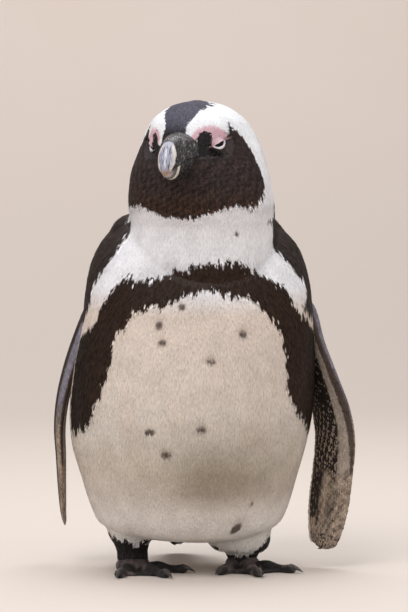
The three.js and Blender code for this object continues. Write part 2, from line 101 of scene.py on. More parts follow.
# %% Body rings
MM = 0.001
BODY_AXIS = (-1.0, 2.0)  # x and y of the line that the trunk's markings are measured round
NECK = (6.0, -10.0)  # x and y of the neck's axis
HEAD_TURN = math.radians(-23)
HEAD_LEAN = (-2.5, 300, 352)  # sideways shift of the head, growing between two heights
EYE = dict(forward=39.0, out=25.2, height=370.5, radius=9.0)
EYE_SURFACE = (44.0, 31.5)  # forward and out, where the head's surface lies over the eye
BODY_COAT = 1.2  # depth of the coat, from the skin to the outline of the solids
FACE_COAT = 0.9
WING_COAT = 0.8
TAIL_COAT = 0.9
EYEBALL_INSET = 0.6  # how much smaller the eyeball is than the solid eye, so that the lids cover it

# Trunk: height, x and y of the widest line, half width, reach to the front and to the back.
TRUNK = np.array([
    (23.5, 4, 6, 0, 0, 0), (25, 4, 6, 34, 32, 30), (31, -1, 4, 61, 56, 47),
    (41, -3.5, 2, 79, 72, 60), (56, -4, 1, 87, 83, 68), (82, -4.5, 0, 95, 93, 76),
    (113, -4.5, -1, 103.5, 100, 80), (146, -2.5, -2, 107, 101, 82), (182, 0, -2, 105.5, 97, 82),
    (216, 3, 0, 101.5, 91, 78), (244, 4, 4, 99, 84, 72), (266, 4.5, 9, 94.5, 74, 64),
    (283, 5, 13, 87, 60, 56), (297, 4.5, 16, 76, 45, 49), (307, 4.5, 18, 67, 32, 42),
    (313, 5, 18, 50, 20, 33), (316, 6, 18, 0, 0, 0)], float)

# Head and neck: height, half width, reach to the front and back, share of the head's turn, and
# the power of the front curve, 2 for round and less for a face that narrows to the bill.
HOOD = np.array([
    (205, 0, 0, 0, 0, 2), (212, 46, 48, 48, 0, 2), (236, 60, 63, 61, 0, 2),
    (262, 64, 64, 65, .1, 2), (285, 63.5, 59.5, 65, .4, 2), (299, 63, 58, 64, .75, 2),
    (309, 63.5, 63, 63.5, .95, 2), (320, 64, 66.5, 62.5, 1, 2), (333, 62.5, 67, 61, 1, 1.9),
    (347, 60.5, 68.5, 58.5, 1, 1.7), (360, 57, 69.5, 54.5, 1, 1.5), (372, 52.5, 68.5, 49, 1, 1.46),
    (383, 47, 63.5, 42, 1, 1.6), (393, 39.5, 54.5, 33, 1, 1.85), (401, 29, 41, 21, 1, 2),
    (406, 18, 28, 6, 1, 2), (409, 0, 11, -11, 1, 2)], float)

# Flippers: x, y, z of the middle line, chord ahead of and behind it, half thickness, twist.
FLIPPERS = {
    1: np.array([
        (84, 8, 246, 10, 10, 7, 16), (96.5, 6, 226, 17, 15, 8.5, 20), (103, 3, 196, 21, 20, 8, 24),
        (112, 0, 166, 23.5, 23, 7, 29), (120, -2, 138, 25, 24.5, 6.2, 34),
        (123.5, -3, 112, 24.5, 24, 5.2, 38), (121.5, -4, 84, 23, 23, 4.4, 42),
        (118, -4, 56, 21.5, 21.5, 3.7, 46), (115, -3, 33, 17.5, 17.5, 3, 50),
        (112, -2, 21, 12.5, 12.5, 2.2, 52), (110.5, -1.5, 16.5, 0, 0, 0, 52)], float),
    -1: np.array([
        (-78, 12, 246, 10, 10, 7, 4), (-87, 12, 226, 17, 15, 8.5, 4), (-98, 14, 200, 21, 20, 8, 4),
        (-107, 17, 174, 23.5, 23, 7.2, 4), (-113, 22, 148, 25.5, 24.5, 6.4, 5),
        (-115, 29, 123, 25, 24, 5.8, 5), (-113.5, 36, 97, 23.5, 23, 5.2, 5),
        (-112, 44, 70, 20.5, 20, 4.4, 5), (-110.5, 50, 49, 15, 15, 3.4, 5),
        (-109, 54, 38, 8, 8, 2.2, 5), (-108.5, 55.5, 33.5, 0, 0, 0, 5)], float)}

# Tail: x, y, z of the middle line, half width and half thickness.
TAIL = np.array([
    (-2, 40, 67, 12, 9), (-2, 46, 66, 20, 12), (-2, 66, 56, 27, 12), (-2, 84, 42, 26, 8.5),
    (-2, 98, 28, 20, 5), (-2, 107, 17, 12, 2.8), (-2, 111, 11, 5, 1.4), (-2, 113, 8, 0, 0)], float)

# Legs: x, y, z, half width, reach to the front and to the back.
LEGS = {
    1: np.array([
        (36, 4, 74, 0, 0, 0), (36, 2, 62, 26, 28, 28), (37, 0, 44, 31, 31, 30),
        (38, 0, 28, 30, 28, 28), (40, -1, 18, 25, 23, 23), (42, -1, 13.5, 15.5, 15, 15),
        (42, -1, 9, 14, 13, 13), (42, -1, 5, 0, 0, 0)], float),
    -1: np.array([
        (-54, 4, 72, 0, 0, 0), (-54, 2, 62, 22, 26, 26), (-55, 0, 46, 25, 27, 27),
        (-56, 0, 32, 20.5, 21, 22), (-55, 0, 23, 16.5, 16.5, 18), (-54.5, 0, 16, 14.5, 13.5, 14),
        (-54, -1, 9, 14, 13, 13), (-54, -1, 5, 0, 0, 0)], float)}


# %% [markdown]
# ## Forms
#
# Body, head, legs, flippers and tail could each be sculpted, but then the coat would have nothing
# to follow. Here each is a function that takes a place along the form and an angle round it and
# gives a point. The same function lays the skin, sets the feathers in rows and tells which way is
# out.

# %% Forms as functions of a place along them and an angle round them
def column(values):
    """One value or many, as a row of floats."""
    return np.atleast_1d(np.asarray(values, float))


def station(table, along):
    """Rows of a table between its stations, on a Catmull-Rom curve; along runs from 0 to 1."""
    last = len(table) - 1
    place = np.clip(column(along), 0, 1) * last
    i = np.minimum(place.astype(int), last - 1)
    t = (place - i)[:, None]
    a, b, c, d = (table[np.clip(i + k, 0, last)] for k in (-1, 0, 1, 2))
    return b + 0.5 * t * (c - a + t * (2 * a - 5 * b + 4 * c - d + t * (3 * (b - c) + d - a)))


def path_of(table, along):
    """Unit direction of a table's middle line."""
    near, far = (station(table, np.clip(column(along) + step, 0, 1)) for step in (-1e-3, 1e-3))
    path = (far - near)[:, :3]
    return path / np.linalg.norm(path, axis=1, keepdims=True)


def smoothstep(x, low, high):
    """Rises from 0 at low to 1 at high."""
    t = np.clip((x - low) / (high - low), 0, 1)
    return t * t * (3 - 2 * t)


def falling(x, low, high):
    """Falls from 1 at low to 0 at high."""
    return smoothstep(-x, -high, -low)


def in_head(forward, left, height, turn=1.0):
    """A point of the head's frame: ahead of the neck's axis, to the bird's left, and up."""
    shift, low, high = HEAD_LEAN
    x = NECK[0] + shift * smoothstep(height, low, high)
    yaw = HEAD_TURN * turn
    return np.stack([x + forward * np.sin(yaw) + left * np.cos(yaw),
                     NECK[1] - forward * np.cos(yaw) + left * np.sin(yaw),
                     height + 0 * forward], -1)


def head_point(forward, left, height):
    """One point of the head's frame."""
    return in_head(column(forward), column(left), column(height))[0]


def head_place(p):
    """The same the other way round: forward, left and height of points, for the turned head."""
    shift, low, high = HEAD_LEAN
    dx = p[:, 0] - NECK[0] - shift * smoothstep(p[:, 2], low, high)
    dy = p[:, 1] - NECK[1]
    s, c = math.sin(HEAD_TURN), math.cos(HEAD_TURN)
    return dx * s - dy * c, dx * c + dy * s, p[:, 2]


def trunk(along, angle):
    """The trunk: rings of two half ellipses, the front one deeper."""
    z, x, y, side, front, back = station(TRUNK, along).T
    ahead = np.cos(angle)
    return np.stack([x + np.sin(angle) * side, y - ahead * np.where(ahead > 0, front, back), z], -1)


def hood(along, angle):
    """Head and neck, with a brow over each eye and a hollow round it."""
    z, side, front, back, turn, power = station(HOOD, along).T
    ahead, aside = np.cos(angle), np.sin(angle)
    bend = np.where(ahead > 0, 2 / power, 1)
    forward = np.sign(ahead) * np.abs(ahead) ** bend * np.where(ahead > 0, front, back)
    left = np.sign(aside) * np.abs(aside) ** bend * side
    gap = (forward - EYE_SURFACE[0]) ** 2 + (np.abs(left) - EYE_SURFACE[1]) ** 2
    brow = 1.6 * np.exp(-(gap + (z - EYE["height"] - 13) ** 2) / 10**2)
    socket = 2.5 * np.exp(-(gap + (z - EYE["height"]) ** 2) / 11**2)
    out = 1 + (brow - socket) / np.maximum(np.hypot(forward, left), 20)
    return in_head(forward * out, left * out, z, turn)


def leg(side):
    def form(along, angle):
        x, y, z, half, front, back = station(LEGS[side], along).T
        ahead = np.cos(angle)
        return np.stack([x + np.sin(angle) * half, y - ahead * np.where(ahead > 0, front, back), z], -1)
    return form


def flipper(side):
    table = FLIPPERS[side]

    def form(along, angle):
        row = station(table, along)
        path = path_of(table, along)
        twist = np.radians(row[:, 6])
        lead = np.stack([side * np.sin(twist), -np.cos(twist), 0 * twist], -1)
        lead -= path * (lead * path).sum(1, keepdims=True)
        lead /= np.linalg.norm(lead, axis=1, keepdims=True)
        flat = np.cross(path, lead)
        ahead = np.cos(angle)
        chord = ahead * np.where(ahead > 0, row[:, 3], row[:, 4])
        thick = np.sin(angle) * row[:, 5] * (1 + 0.45 * np.minimum(ahead, 0))
        return row[:, :3] + lead * chord[:, None] + flat * thick[:, None]
    return form


def tail(along, angle):
    row = station(TAIL, along)
    across = np.array([1.0, 0, 0])
    up = np.cross(across, path_of(TAIL, along))
    half, thick = np.sin(angle) * row[:, 3], np.cos(angle) * row[:, 4]
    return row[:, :3] + across * half[:, None] + up * thick[:, None]


def normal_of(form, along, angle):
    """Outward normals of a form, from small steps along and round it."""
    along = np.clip(column(along), 0.004, 0.996)
    du = form(along + 2e-3, angle) - form(along - 2e-3, angle)
    da = form(along, angle + 0.01) - form(along, angle - 0.01)
    n = np.cross(da, du)
    n /= np.maximum(np.linalg.norm(n, axis=1, keepdims=True), 1e-9)
    middle = form(along, angle + math.pi)
    here = form(along, angle)
    return n * np.sign(((here - middle) * n).sum(1, keepdims=True) + 1e-9)


low, high = (np.array(v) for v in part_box("eye_left"))
SHIFT = (low + high) / 2 - head_point(EYE["forward"], EYE["out"], EYE["height"]) * MM
BOX_LOW, BOX_HIGH = ((np.array(corner) - SHIFT) / MM for corner in CAD_BOX)
print("the bird's own frame is moved by", SHIFT.round(4), "m")


# %% [markdown]
# ## Working by hand in Blender
#
# Every form starts as a plain ball whose vertices are then moved to the form: the ball's latitude
# becomes the place along the form and its longitude the angle round it. The poles close both ends,
# so no seam has to be sewn. Edit mode then turns the faces outwards, and modifiers are applied as
# they would be by hand.

# %% Modelling helpers
def active(ob):
    """Makes an object the only selected one, and the one that operators act on."""
    bpy.ops.object.select_all(action="DESELECT")
    ob.select_set(True)
    bpy.context.view_layer.objects.active = ob
    return ob


def coords(ob):
    """An object's vertices as rows of x, y and z."""
    co = np.empty(len(ob.data.vertices) * 3, np.float64)
    ob.data.vertices.foreach_get("co", co)
    return co.reshape(-1, 3)


def places(ob):
    """Where an object's vertices are in the bird's own frame, in millimetres."""
    return (coords(ob) - SHIFT) / MM


def move_to(ob, points_mm):
    ob.data.vertices.foreach_set("co", (np.asarray(points_mm) * MM + SHIFT).ravel())
    ob.data.update()


def tidy(ob, merge=0.0):
    """Joins loose seams and turns all faces outwards, in edit mode."""
    active(ob)
    bpy.ops.object.mode_set(mode="EDIT")
    bpy.ops.mesh.select_all(action="SELECT")
    if merge:
        bpy.ops.mesh.remove_doubles(threshold=merge)
    bpy.ops.mesh.normals_make_consistent(inside=False)
    bpy.ops.object.mode_set(mode="OBJECT")
    bpy.ops.object.shade_smooth()
    return ob


def ball(name, around, rings):
    """A ball of radius 1, to be shaped."""
    bpy.ops.mesh.primitive_uv_sphere_add(segments=around, ring_count=rings, radius=1)
    ob = bpy.context.object
    ob.name = ob.data.name = name
    return ob


def ball_place(co):
    """Where the points of a ball lie along a form, from 0 to 1, and round it."""
    return np.arccos(np.clip(-co[:, 2], -1, 1)) / math.pi, np.arctan2(co[:, 0], -co[:, 1])


def loft(name, form, around, rings, inset=0.0):
    """A ball shaped into a form, drawn in by inset millimetres along its normals."""
    ob = ball(name, around, rings)
    along, angle = ball_place(coords(ob))
    points = form(along, angle)
    if inset:
        points = points - normal_of(form, along, angle) * inset
    move_to(ob, points)
    return tidy(ob)


def modify(ob, kind, **settings):
    """Adds a modifier, sets it and applies it."""
    active(ob)
    mod = ob.modifiers.new(kind.lower(), kind)
    for key, value in settings.items():
        setattr(mod, key, value)
    bpy.ops.object.modifier_apply(modifier=mod.name)
    return ob


def joined(name, pieces):
    """Joins pieces into the first one and names it."""
    active(pieces[0])
    for piece in pieces:
        piece.select_set(True)
    bpy.ops.object.join()
    pieces[0].name = pieces[0].data.name = name
    return pieces[0]


def give(ob, name, values, kind="FLOAT"):
    """Stores a number or a colour for each vertex."""
    if name in ob.data.attributes:
        ob.data.attributes.remove(ob.data.attributes[name])
    layer = ob.data.attributes.new(name, "FLOAT_COLOR" if kind == "COLOR" else "FLOAT", "POINT")
    if kind == "COLOR":
        rgba = np.ones((len(values), 4), np.float32)
        rgba[:, :3] = values
        layer.data.foreach_set("color", rgba.ravel())
    else:
        layer.data.foreach_set("value", np.asarray(values, np.float32))


# %% [markdown]
# ## Markings
#
# The bird is white in front and black behind, with a black band over the breast, a black face and a
# few spots. This could be painted on an image, but a picture has to be unwrapped and stretches.
# Here the colour is worked out from where a point is: the angle round the body and its height on
# the trunk, and the same about the turned head. Skin and coat ask the same functions, so that a gap
# between two vanes shows the right colour.

# %% Marking outlines, as degrees from straight ahead and millimetres of height
BAND = [  # the dark chest band: upper edge from the bird's right to its left, then back below
    (-84, 205), (-72, 212), (-66, 220), (-65, 233), (-61, 242), (-57, 249), (-52, 259), (-44, 253),
    (-35, 255), (-26, 259), (-19, 262), (-9, 264), (-7, 268), (4, 268), (14, 270), (25, 270),
    (32, 265), (38, 261), (43, 257), (48, 253), (53, 246), (55, 237), (57, 229), (72, 214),
    (84, 205), (86, 150), (86, 124), (70, 122), (56, 136), (51, 144), (47, 151), (43, 162),
    (44, 174), (44, 187), (43, 204), (41, 213), (37, 221), (34, 228), (30, 233), (27, 239),
    (21, 241), (12, 242), (7, 247), (1, 247), (-6, 243), (-13, 242), (-17, 237), (-23, 235),
    (-30, 232), (-36, 230), (-41, 228), (-43, 222), (-44, 215), (-51, 209), (-50, 200), (-50, 188),
    (-51, 175), (-53, 166), (-54, 154), (-59, 145), (-59, 136), (-65, 127), (-84, 119)]
MASK = [  # the dark face, one half: round the chin, up the cheek to a wedge, and back by the eye
    (0, 307), (12, 308), (18, 310.5), (28, 314), (36, 316), (46, 318), (52, 315.5), (60, 315),
    (64, 319), (71, 323), (77, 330), (80, 336), (79, 345), (77, 355), (72, 368), (66, 376),
    (55, 383), (49.5, 391), (47.5, 383), (45.5, 375.5), (36, 372), (28, 368.2), (24.5, 367.5),
    (26.5, 374), (25.6, 380), (19.4, 381.5), (15.7, 379.5), (12, 372), (0, 372)]
BARE = [  # the bare pink skin over the eye
    (12, 372), (9.5, 376.5), (14, 382.5), (21, 385), (30, 385.5), (38, 383), (44, 378),
    (45.5, 375.5), (36, 372), (28, 368.2), (24.5, 367.5), (26.5, 374), (25.6, 380), (19.4, 381.5),
    (15.7, 379.5)]
# Dark crown strip: heights, half width in degrees, and how far its middle lies to the right.
CROWN = ([368, 378, 384, 391, 397, 402, 406, 409], [13, 11, 9.5, 13, 22, 35, 63, 105],
         [4.5, 4.5, 4.5, 5.5, 7.5, 8.5, 9, 9])
# Where the dark nape starts, in degrees, at rising heights.
NAPE = ([300, 309, 318, 330, 350, 370, 390, 400, 405, 409],
        [72, 92, 112, 122, 125, 126, 126, 120, 113, 108])
# Where the dark back starts on the bird's right and left, at rising heights.
BACK_RIGHT = ([30, 38, 55, 80, 110, 150, 190, 215, 230, 237, 249, 254, 263, 271, 281, 295, 309],
              [180, 140, 120, 110, 104, 100, 97, 86, 79, 77, 79, 75, 72, 71, 70, 76, 83])
BACK_LEFT = ([30, 38, 55, 80, 110, 150, 190, 215, 222, 230, 237, 247, 253, 262, 269, 279, 310],
             [180, 140, 120, 110, 104, 100, 97, 86, 70, 62, 70, 74, 70, 67, 65, 62, 64])
BREAST_RADIUS = 95  # turns degrees into millimetres for the spots
# Dark spots of the breast: degrees, height, half width and half height in millimetres.
SPOTS = [(-13, 233, 3.6, 2.8), (-25, 217.5, 3.2, 3.2), (-22.5, 203, 3.6, 2.2), (19.5, 210, 3.4, 2.8),
         (2, 187.5, 3.8, 2.2), (-27, 128, 4.2, 2.4), (-3, 130.5, 3.8, 2.2), (-19.5, 109, 4.0, 2.8),
         (24, 42, 5.6, 5), (24, 294, 2.4, 1.8), (29, 64, 1.8, 1.2)]

HEAD_FROM = 318  # height above which all plumage is the head's
RIGHT_LOW = 1.6  # how much lower the face's outlines lie on the bird's right
RIGHT_LATE = 9  # and how many degrees further from the bill

# Colours, as light reflected.
HEAD_WHITE = np.array([0.83, 0.84, 0.87])
NECK_WHITE = np.array([0.80, 0.79, 0.82])
BELLY_STAIN_AND_SHADE = ([20, 45, 58, 73, 90, 125, 160, 200, 240],  # heights, and the belly's colour there: a light stain, with painted shade where the lower belly turns down
         [(.84, .82, .79), (.82, .79, .755), (.74, .69, .64), (.62, .555, .50), (.60, .54, .465),
          (.65, .59, .53), (.66, .58, .52), (.67, .575, .51), (.68, .58, .51)])
BELLY_SHADOW = dict(x=5, reach=(45, 70), heights=[56, 66, 75, 90, 108, 125, 143],
              depth=[.15, .65, 1.05, 1.10, .75, .45, .1])  # painted shadow low on the belly, under its bulge
BAND_BLACK = np.array([0.028, 0.015, 0.010])
MASK_BLACK = np.array([0.034, 0.024, 0.023])
LORE_BLACK = np.array([0.015, 0.013, 0.015])  # before the eye and round the bill
MASK_BROWN = np.array([0.046, 0.022, 0.013])  # the mask's lower border
# the crown's black with a painted bluish reflection of the sky
CROWN_BLACK_SKY_SHEEN = np.array([0.070, 0.068, 0.092])
BACK_BLACK = np.array([0.034, 0.024, 0.021])
SHANK_BLACK = np.array([0.022, 0.018, 0.020])
SPOT_BROWN = np.array([0.085, 0.060, 0.050])
PINK = np.array([0.66, 0.42, 0.48])
LID_WHITE = np.array([0.90, 0.84, 0.90])


# %% [markdown]
# ## Where the eyes look out
#
# The eyes are half closed. Each opening is a slit, flat above and round below, that tilts down to
# the bill. Skin, lids, feathers and colours all need to know how far a point lies from it, so the
# slit is written once, as a shape seen from the middle of the eyeball.

# %% Where the eyes look out
LID_RADIUS = 9.3
EYE_DEEP = {1: 1.2, -1: 1.1}  # how much deeper than the solid eyes the left and right eyeball sit
SLIT = dict(half=7.2, above=0.6, below=3.2, tilt=math.radians(23))
SLIT_PLACE = {1: (0.2, 1.5), -1: (1.4, -0.6)}  # millimetres back and up from the eye's middle
RIM_WIDTH = 2.9  # the pale rim below the slit
LID_DEPTH = 1.0  # how far the back of the lids lies under their front


def eye_frame(side):
    """Centre, outward direction, the direction to the back of the head and the one up."""
    centre = head_point(EYE["forward"], side * EYE["out"], EYE["height"])
    s, c = math.sin(HEAD_TURN), math.cos(HEAD_TURN)
    ahead, left = np.array([s, -c, 0]), np.array([c, s, 0])
    out = ahead * 0.60 + left * side * 0.80
    out /= np.linalg.norm(out)
    back = -ahead * 0.80 + left * side * 0.60
    return centre - out * EYE_DEEP[side], out, back / np.linalg.norm(back), np.array([0, 0, 1.0])


def slit_edge(c, s):
    """How far the slit reaches from its middle, in the direction of a cosine and a sine."""
    height = np.where(s > 0, SLIT["above"], SLIT["below"])
    return 1 / np.sqrt((c / SLIT["half"]) ** 2 + (s / height) ** 2)


def slit_gap(p, side):
    """How far points lie outside the slit, in millimetres round the eyeball."""
    centre, out, back, up = eye_frame(side)
    far = np.maximum(np.linalg.norm(p - centre, axis=1), 1e-6)
    ray = (p - centre) / far[:, None]
    x, y = (ray @ axis - shift / LID_RADIUS for axis, shift in zip((back, up), SLIT_PLACE[side]))
    ct, st = math.cos(SLIT["tilt"]), math.sin(SLIT["tilt"])
    x, y = x * ct + y * st, y * ct - x * st
    size = np.maximum(np.hypot(x, y), 1e-6)
    turn = np.where(ray @ out > 0, np.arcsin(np.minimum(size, 1)), math.pi / 2)
    return np.where(far < 16, turn * LID_RADIUS - slit_edge(x / size, y / size), 99)


# %% [markdown]
# ## Asking for a colour
#
# Each border is a closed outline of angles and heights, and a point is inside it or not. Real
# borders aren't sharp lines: they are the ragged ends of feathers. So the functions take a second
# set of places, a little shifted, at which the borders are read.

# %% Functions of the markings
def inside(x, y, outline):
    """Whether points lie inside a closed outline, by counting the edges to one side of them."""
    hit = np.zeros(len(x), bool)
    for (x0, y0), (x1, y1) in zip(outline, outline[1:] + outline[:1]):
        if y0 != y1:
            crosses = (y0 > y) != (y1 > y)
            hit ^= crosses & (x < x0 + (x1 - x0) * (y - y0) / (y1 - y0))
    return hit


def wobble(p, size, seed):
    """Smooth noise from a few crossed waves, about -1 to 1, for soft natural unevenness."""
    r = np.random.default_rng(seed)
    total = np.zeros(len(p))
    for _ in range(7):
        way = r.normal(size=3)
        way /= np.linalg.norm(way)
        total += np.sin(p @ way * (2 * math.pi / size) * r.uniform(0.6, 1.7) + r.uniform(0, 7))
    return total / 2.6


def body_place(p):
    """Angle round the trunk, from straight ahead to the bird's left, and height."""
    x, y = BODY_AXIS
    return np.degrees(np.arctan2(p[:, 0] - x, y - p[:, 1])), p[:, 2]


def face_place(p):
    """Angle from the bill and height at which the face's outlines are read at points."""
    forward, left, z = head_place(p)
    turn = np.degrees(np.arctan2(left, forward))
    psi = np.abs(turn)
    late = RIGHT_LATE * (1 - smoothstep(psi, 24, 44)) * smoothstep(z, 352, 362) * (turn < 0)
    return np.maximum(psi - late, 0.1), z + np.where(left > 0, 0, RIGHT_LOW)


def pink_patch(p):
    """Whether points lie on the bare patch over an eye."""
    return (head_place(p)[0] > 10) & inside(*face_place(p), BARE)


def eyes_gap(p):
    """How far points lie outside the nearer slit."""
    return np.minimum(slit_gap(p, 1), slit_gap(p, -1))


def bare_skin(p):
    """Where the face has no feathers: the pink patch over each eye and the eye itself."""
    rim = (eyes_gap(p) < RIM_WIDTH + 0.2) & (head_place(p)[0] > 10)
    return (p[:, 2] > 350) & (pink_patch(p) | rim)


def near_bare(psi, z):
    """How near feathers are to the bare skin below them: 1 at its border, 0 from 2 mm above."""
    return sum(inside(psi, z - gap, BARE) * 0.25 for gap in (0.5, 1.0, 1.5, 2.1))


def belly_stain_and_shade(p):
    """The pale breast and belly, with a stain and painted shade, a painted shadow low down, and spots with
    painted shade above them.
    """
    phi, z = body_place(p)
    # the belly's colour by height: a light stain, with painted shade where the lower belly turns down
    tint = np.stack([np.interp(z, BELLY_STAIN_AND_SHADE[0], c) for c in zip(*BELLY_STAIN_AND_SHADE[1])], -1)
    tint += (NECK_WHITE - tint) * smoothstep(z, 222, 250)[:, None]
    # painted shadow under the belly's bulge, in front, reaching further to the bird's left than to its
    # right
    aside = (p[:, 0] - BELLY_SHADOW["x"]) / np.where(p[:, 0] < BELLY_SHADOW["x"], *BELLY_SHADOW["reach"])
    hollow = np.interp(z, BELLY_SHADOW["heights"], BELLY_SHADOW["depth"]) * np.exp(-(aside**2)) * (p[:, 1] < 0)
    tint *= 1 - hollow[:, None] * np.array([0.42, 0.45, 0.50])
    soil = smoothstep(wobble(p, 46, 3), 0.2, 1.4) * falling(z, 60, 225)
    tint *= 1 - soil[:, None] * np.array([0.07, 0.10, 0.13])
    for angle, height, half, tall in SPOTS:
        across = np.radians(phi - angle) * BREAST_RADIUS / half
        core = smoothstep(-(across**2) - ((z - height) / tall) ** 2, -1.7, -0.5)
        # painted shade above each spot, as over a small dimple
        above = np.exp(-(across / 1.3) ** 2 - ((z - height - tall) / tall / 1.6) ** 2)
        tint *= 1 - 0.22 * above[:, None] * np.array([0.8, 0.95, 1.0])
        tint += (SPOT_BROWN - tint) * (0.92 * core)[:, None]
    return tint


def mark_trunk(tint, edge):
    """Lays the chest band with painted shadow on its flanks, painted shade just over it, and the dark back
    on a tint.
    """
    phi, z = body_place(edge)
    # painted shadow: the band is darker on its flanks, under the flippers
    flank_shadow = smoothstep(np.abs(phi), 52, 80) * falling(z, 205, 235)
    back = np.where(phi < 0, -phi > np.interp(z, *BACK_RIGHT), phi > np.interp(z, *BACK_LEFT))
    # painted shade on the white just above the band, in front
    tint *= 1 - 0.20 * np.exp(-((z - 262) / 9) ** 2)[:, None] * (np.abs(phi) < 45)[:, None]
    band = inside(phi, z, BAND)
    tint[band] = (BAND_BLACK * (1 - 0.55 * flank_shadow[:, None]))[band]
    tint[back] = BACK_BLACK


def mark_head(tint, edge):
    """Lays the head's white, nape, crown and mask on a tint, and returns where the mask is."""
    forward, left, z = head_place(edge)
    turn = np.degrees(np.arctan2(left, forward))
    psi, face_z = face_place(edge)
    low = face_z - z
    on_head = (z > HEAD_FROM) | ((z > 303) & ((np.hypot(forward, left) < 64.2) | (forward > 35)))
    bare = inside(psi, face_z, BARE) & ((z < 376) | ((z < 382.5) & (psi < 31))) & (psi > 15.7)
    mask = on_head & (inside(psi, z + low * smoothstep(z, 355, 362), MASK) | bare)
    nape = on_head & (np.abs(turn) > np.interp(z, *NAPE))
    crown = (z > 368) & (np.abs(turn + np.interp(z, CROWN[0], CROWN[2])) < np.interp(z, *CROWN[:2]))
    white = NECK_WHITE + (HEAD_WHITE - NECK_WHITE) * smoothstep(z, 330, 370)[:, None]
    rosy = near_bare(psi, face_z)[:, None] * 0.75
    tint[on_head] = (white + (PINK - white) * rosy)[on_head]
    tint[nape] = BACK_BLACK
    # painted sky reflection: black near the bill, lighter and bluer higher on the crown
    crown_sky_sheen = smoothstep(z, 379, 389)[:, None]
    tint[crown] = (LORE_BLACK * 1.6 + (CROWN_BLACK_SKY_SHEEN - LORE_BLACK * 1.6) * crown_sky_sheen)[crown]
    lore = (smoothstep(z, 352, 364) * falling(psi, 30, 42))[:, None]
    tint[mask] = (MASK_BLACK + (LORE_BLACK - MASK_BLACK) * lore)[mask]
    return mask


def mark_face(tint, p, edge, mask):
    """Lays the mask's brown, its rippled rows of painted sheen and the line of the gape on a tint."""
    psi, z = face_place(edge)[0], edge[:, 2]
    # painted sheen in rippled rows over the mask
    sheen_rows = wobble(p * (1, 1, 2.2), 7, 41) + 0.6 * wobble(p * (1, 1, 2.2), 3, 43)
    # the mask's lower border is brown; the rows add painted brown sheen
    warm = (mask * (0.6 * falling(z, 312, 342) + 0.25 * smoothstep(sheen_rows, 0.3, 1.2)))[:, None]
    tint += warm * (MASK_BROWN - tint)
    # painted sheen: the rows are lighter and darker on chin and throat
    tint *= np.where(mask, 1 + 0.42 * np.clip(sheen_rows, -1.2, 1.6) * falling(z, 350, 366), 1)[:, None]
    gape = np.abs(z - 360.5 - 0.06 * (psi - 16)) + 9 * smoothstep(psi, 34, 42)
    beside = (gape < 3) & mask & (psi < 42) & (z < 361)
    tint += beside[:, None] * 0.035 * falling(gape, 1.2, 3)[:, None]
    tint[(gape < 0.8) & mask] *= 0.3


def markings(p, edge=None):
    """Colour of the plumage at points in millimetres; edge holds the places borders are read at."""
    edge = p if edge is None else edge
    tint = belly_stain_and_shade(p)
    mark_trunk(tint, edge)
    mark_face(tint, p, edge, mark_head(tint, edge))
    return tint


def leg_markings(p, edge, side):
    """The shanks are dark: on the right with a white patch in front, on the left outside only."""
    tint = markings(p, edge)
    x, y = (edge[:, 0] - FEET[side]["ankle"][0]) * side, edge[:, 1] - FEET[side]["ankle"][1]
    z = edge[:, 2]
    if side < 0:
        dark = z < 25 + 0.35 * np.abs(x) + 5 * np.exp(-((x + 14) / 5) ** 2)
        patch = (np.abs(x + 1) < 2.2 + 0.16 * (z - 20)) & (z > 21) & (y < 0)
    else:
        dark = z < 13 + 16 * smoothstep(x, 4, 24) + 8 * smoothstep(-x, 18, 24)
        patch = np.zeros(len(z), bool)
    tint[dark & ~patch] = SHANK_BLACK
    tint[patch] = NECK_WHITE * 0.9
    return tint


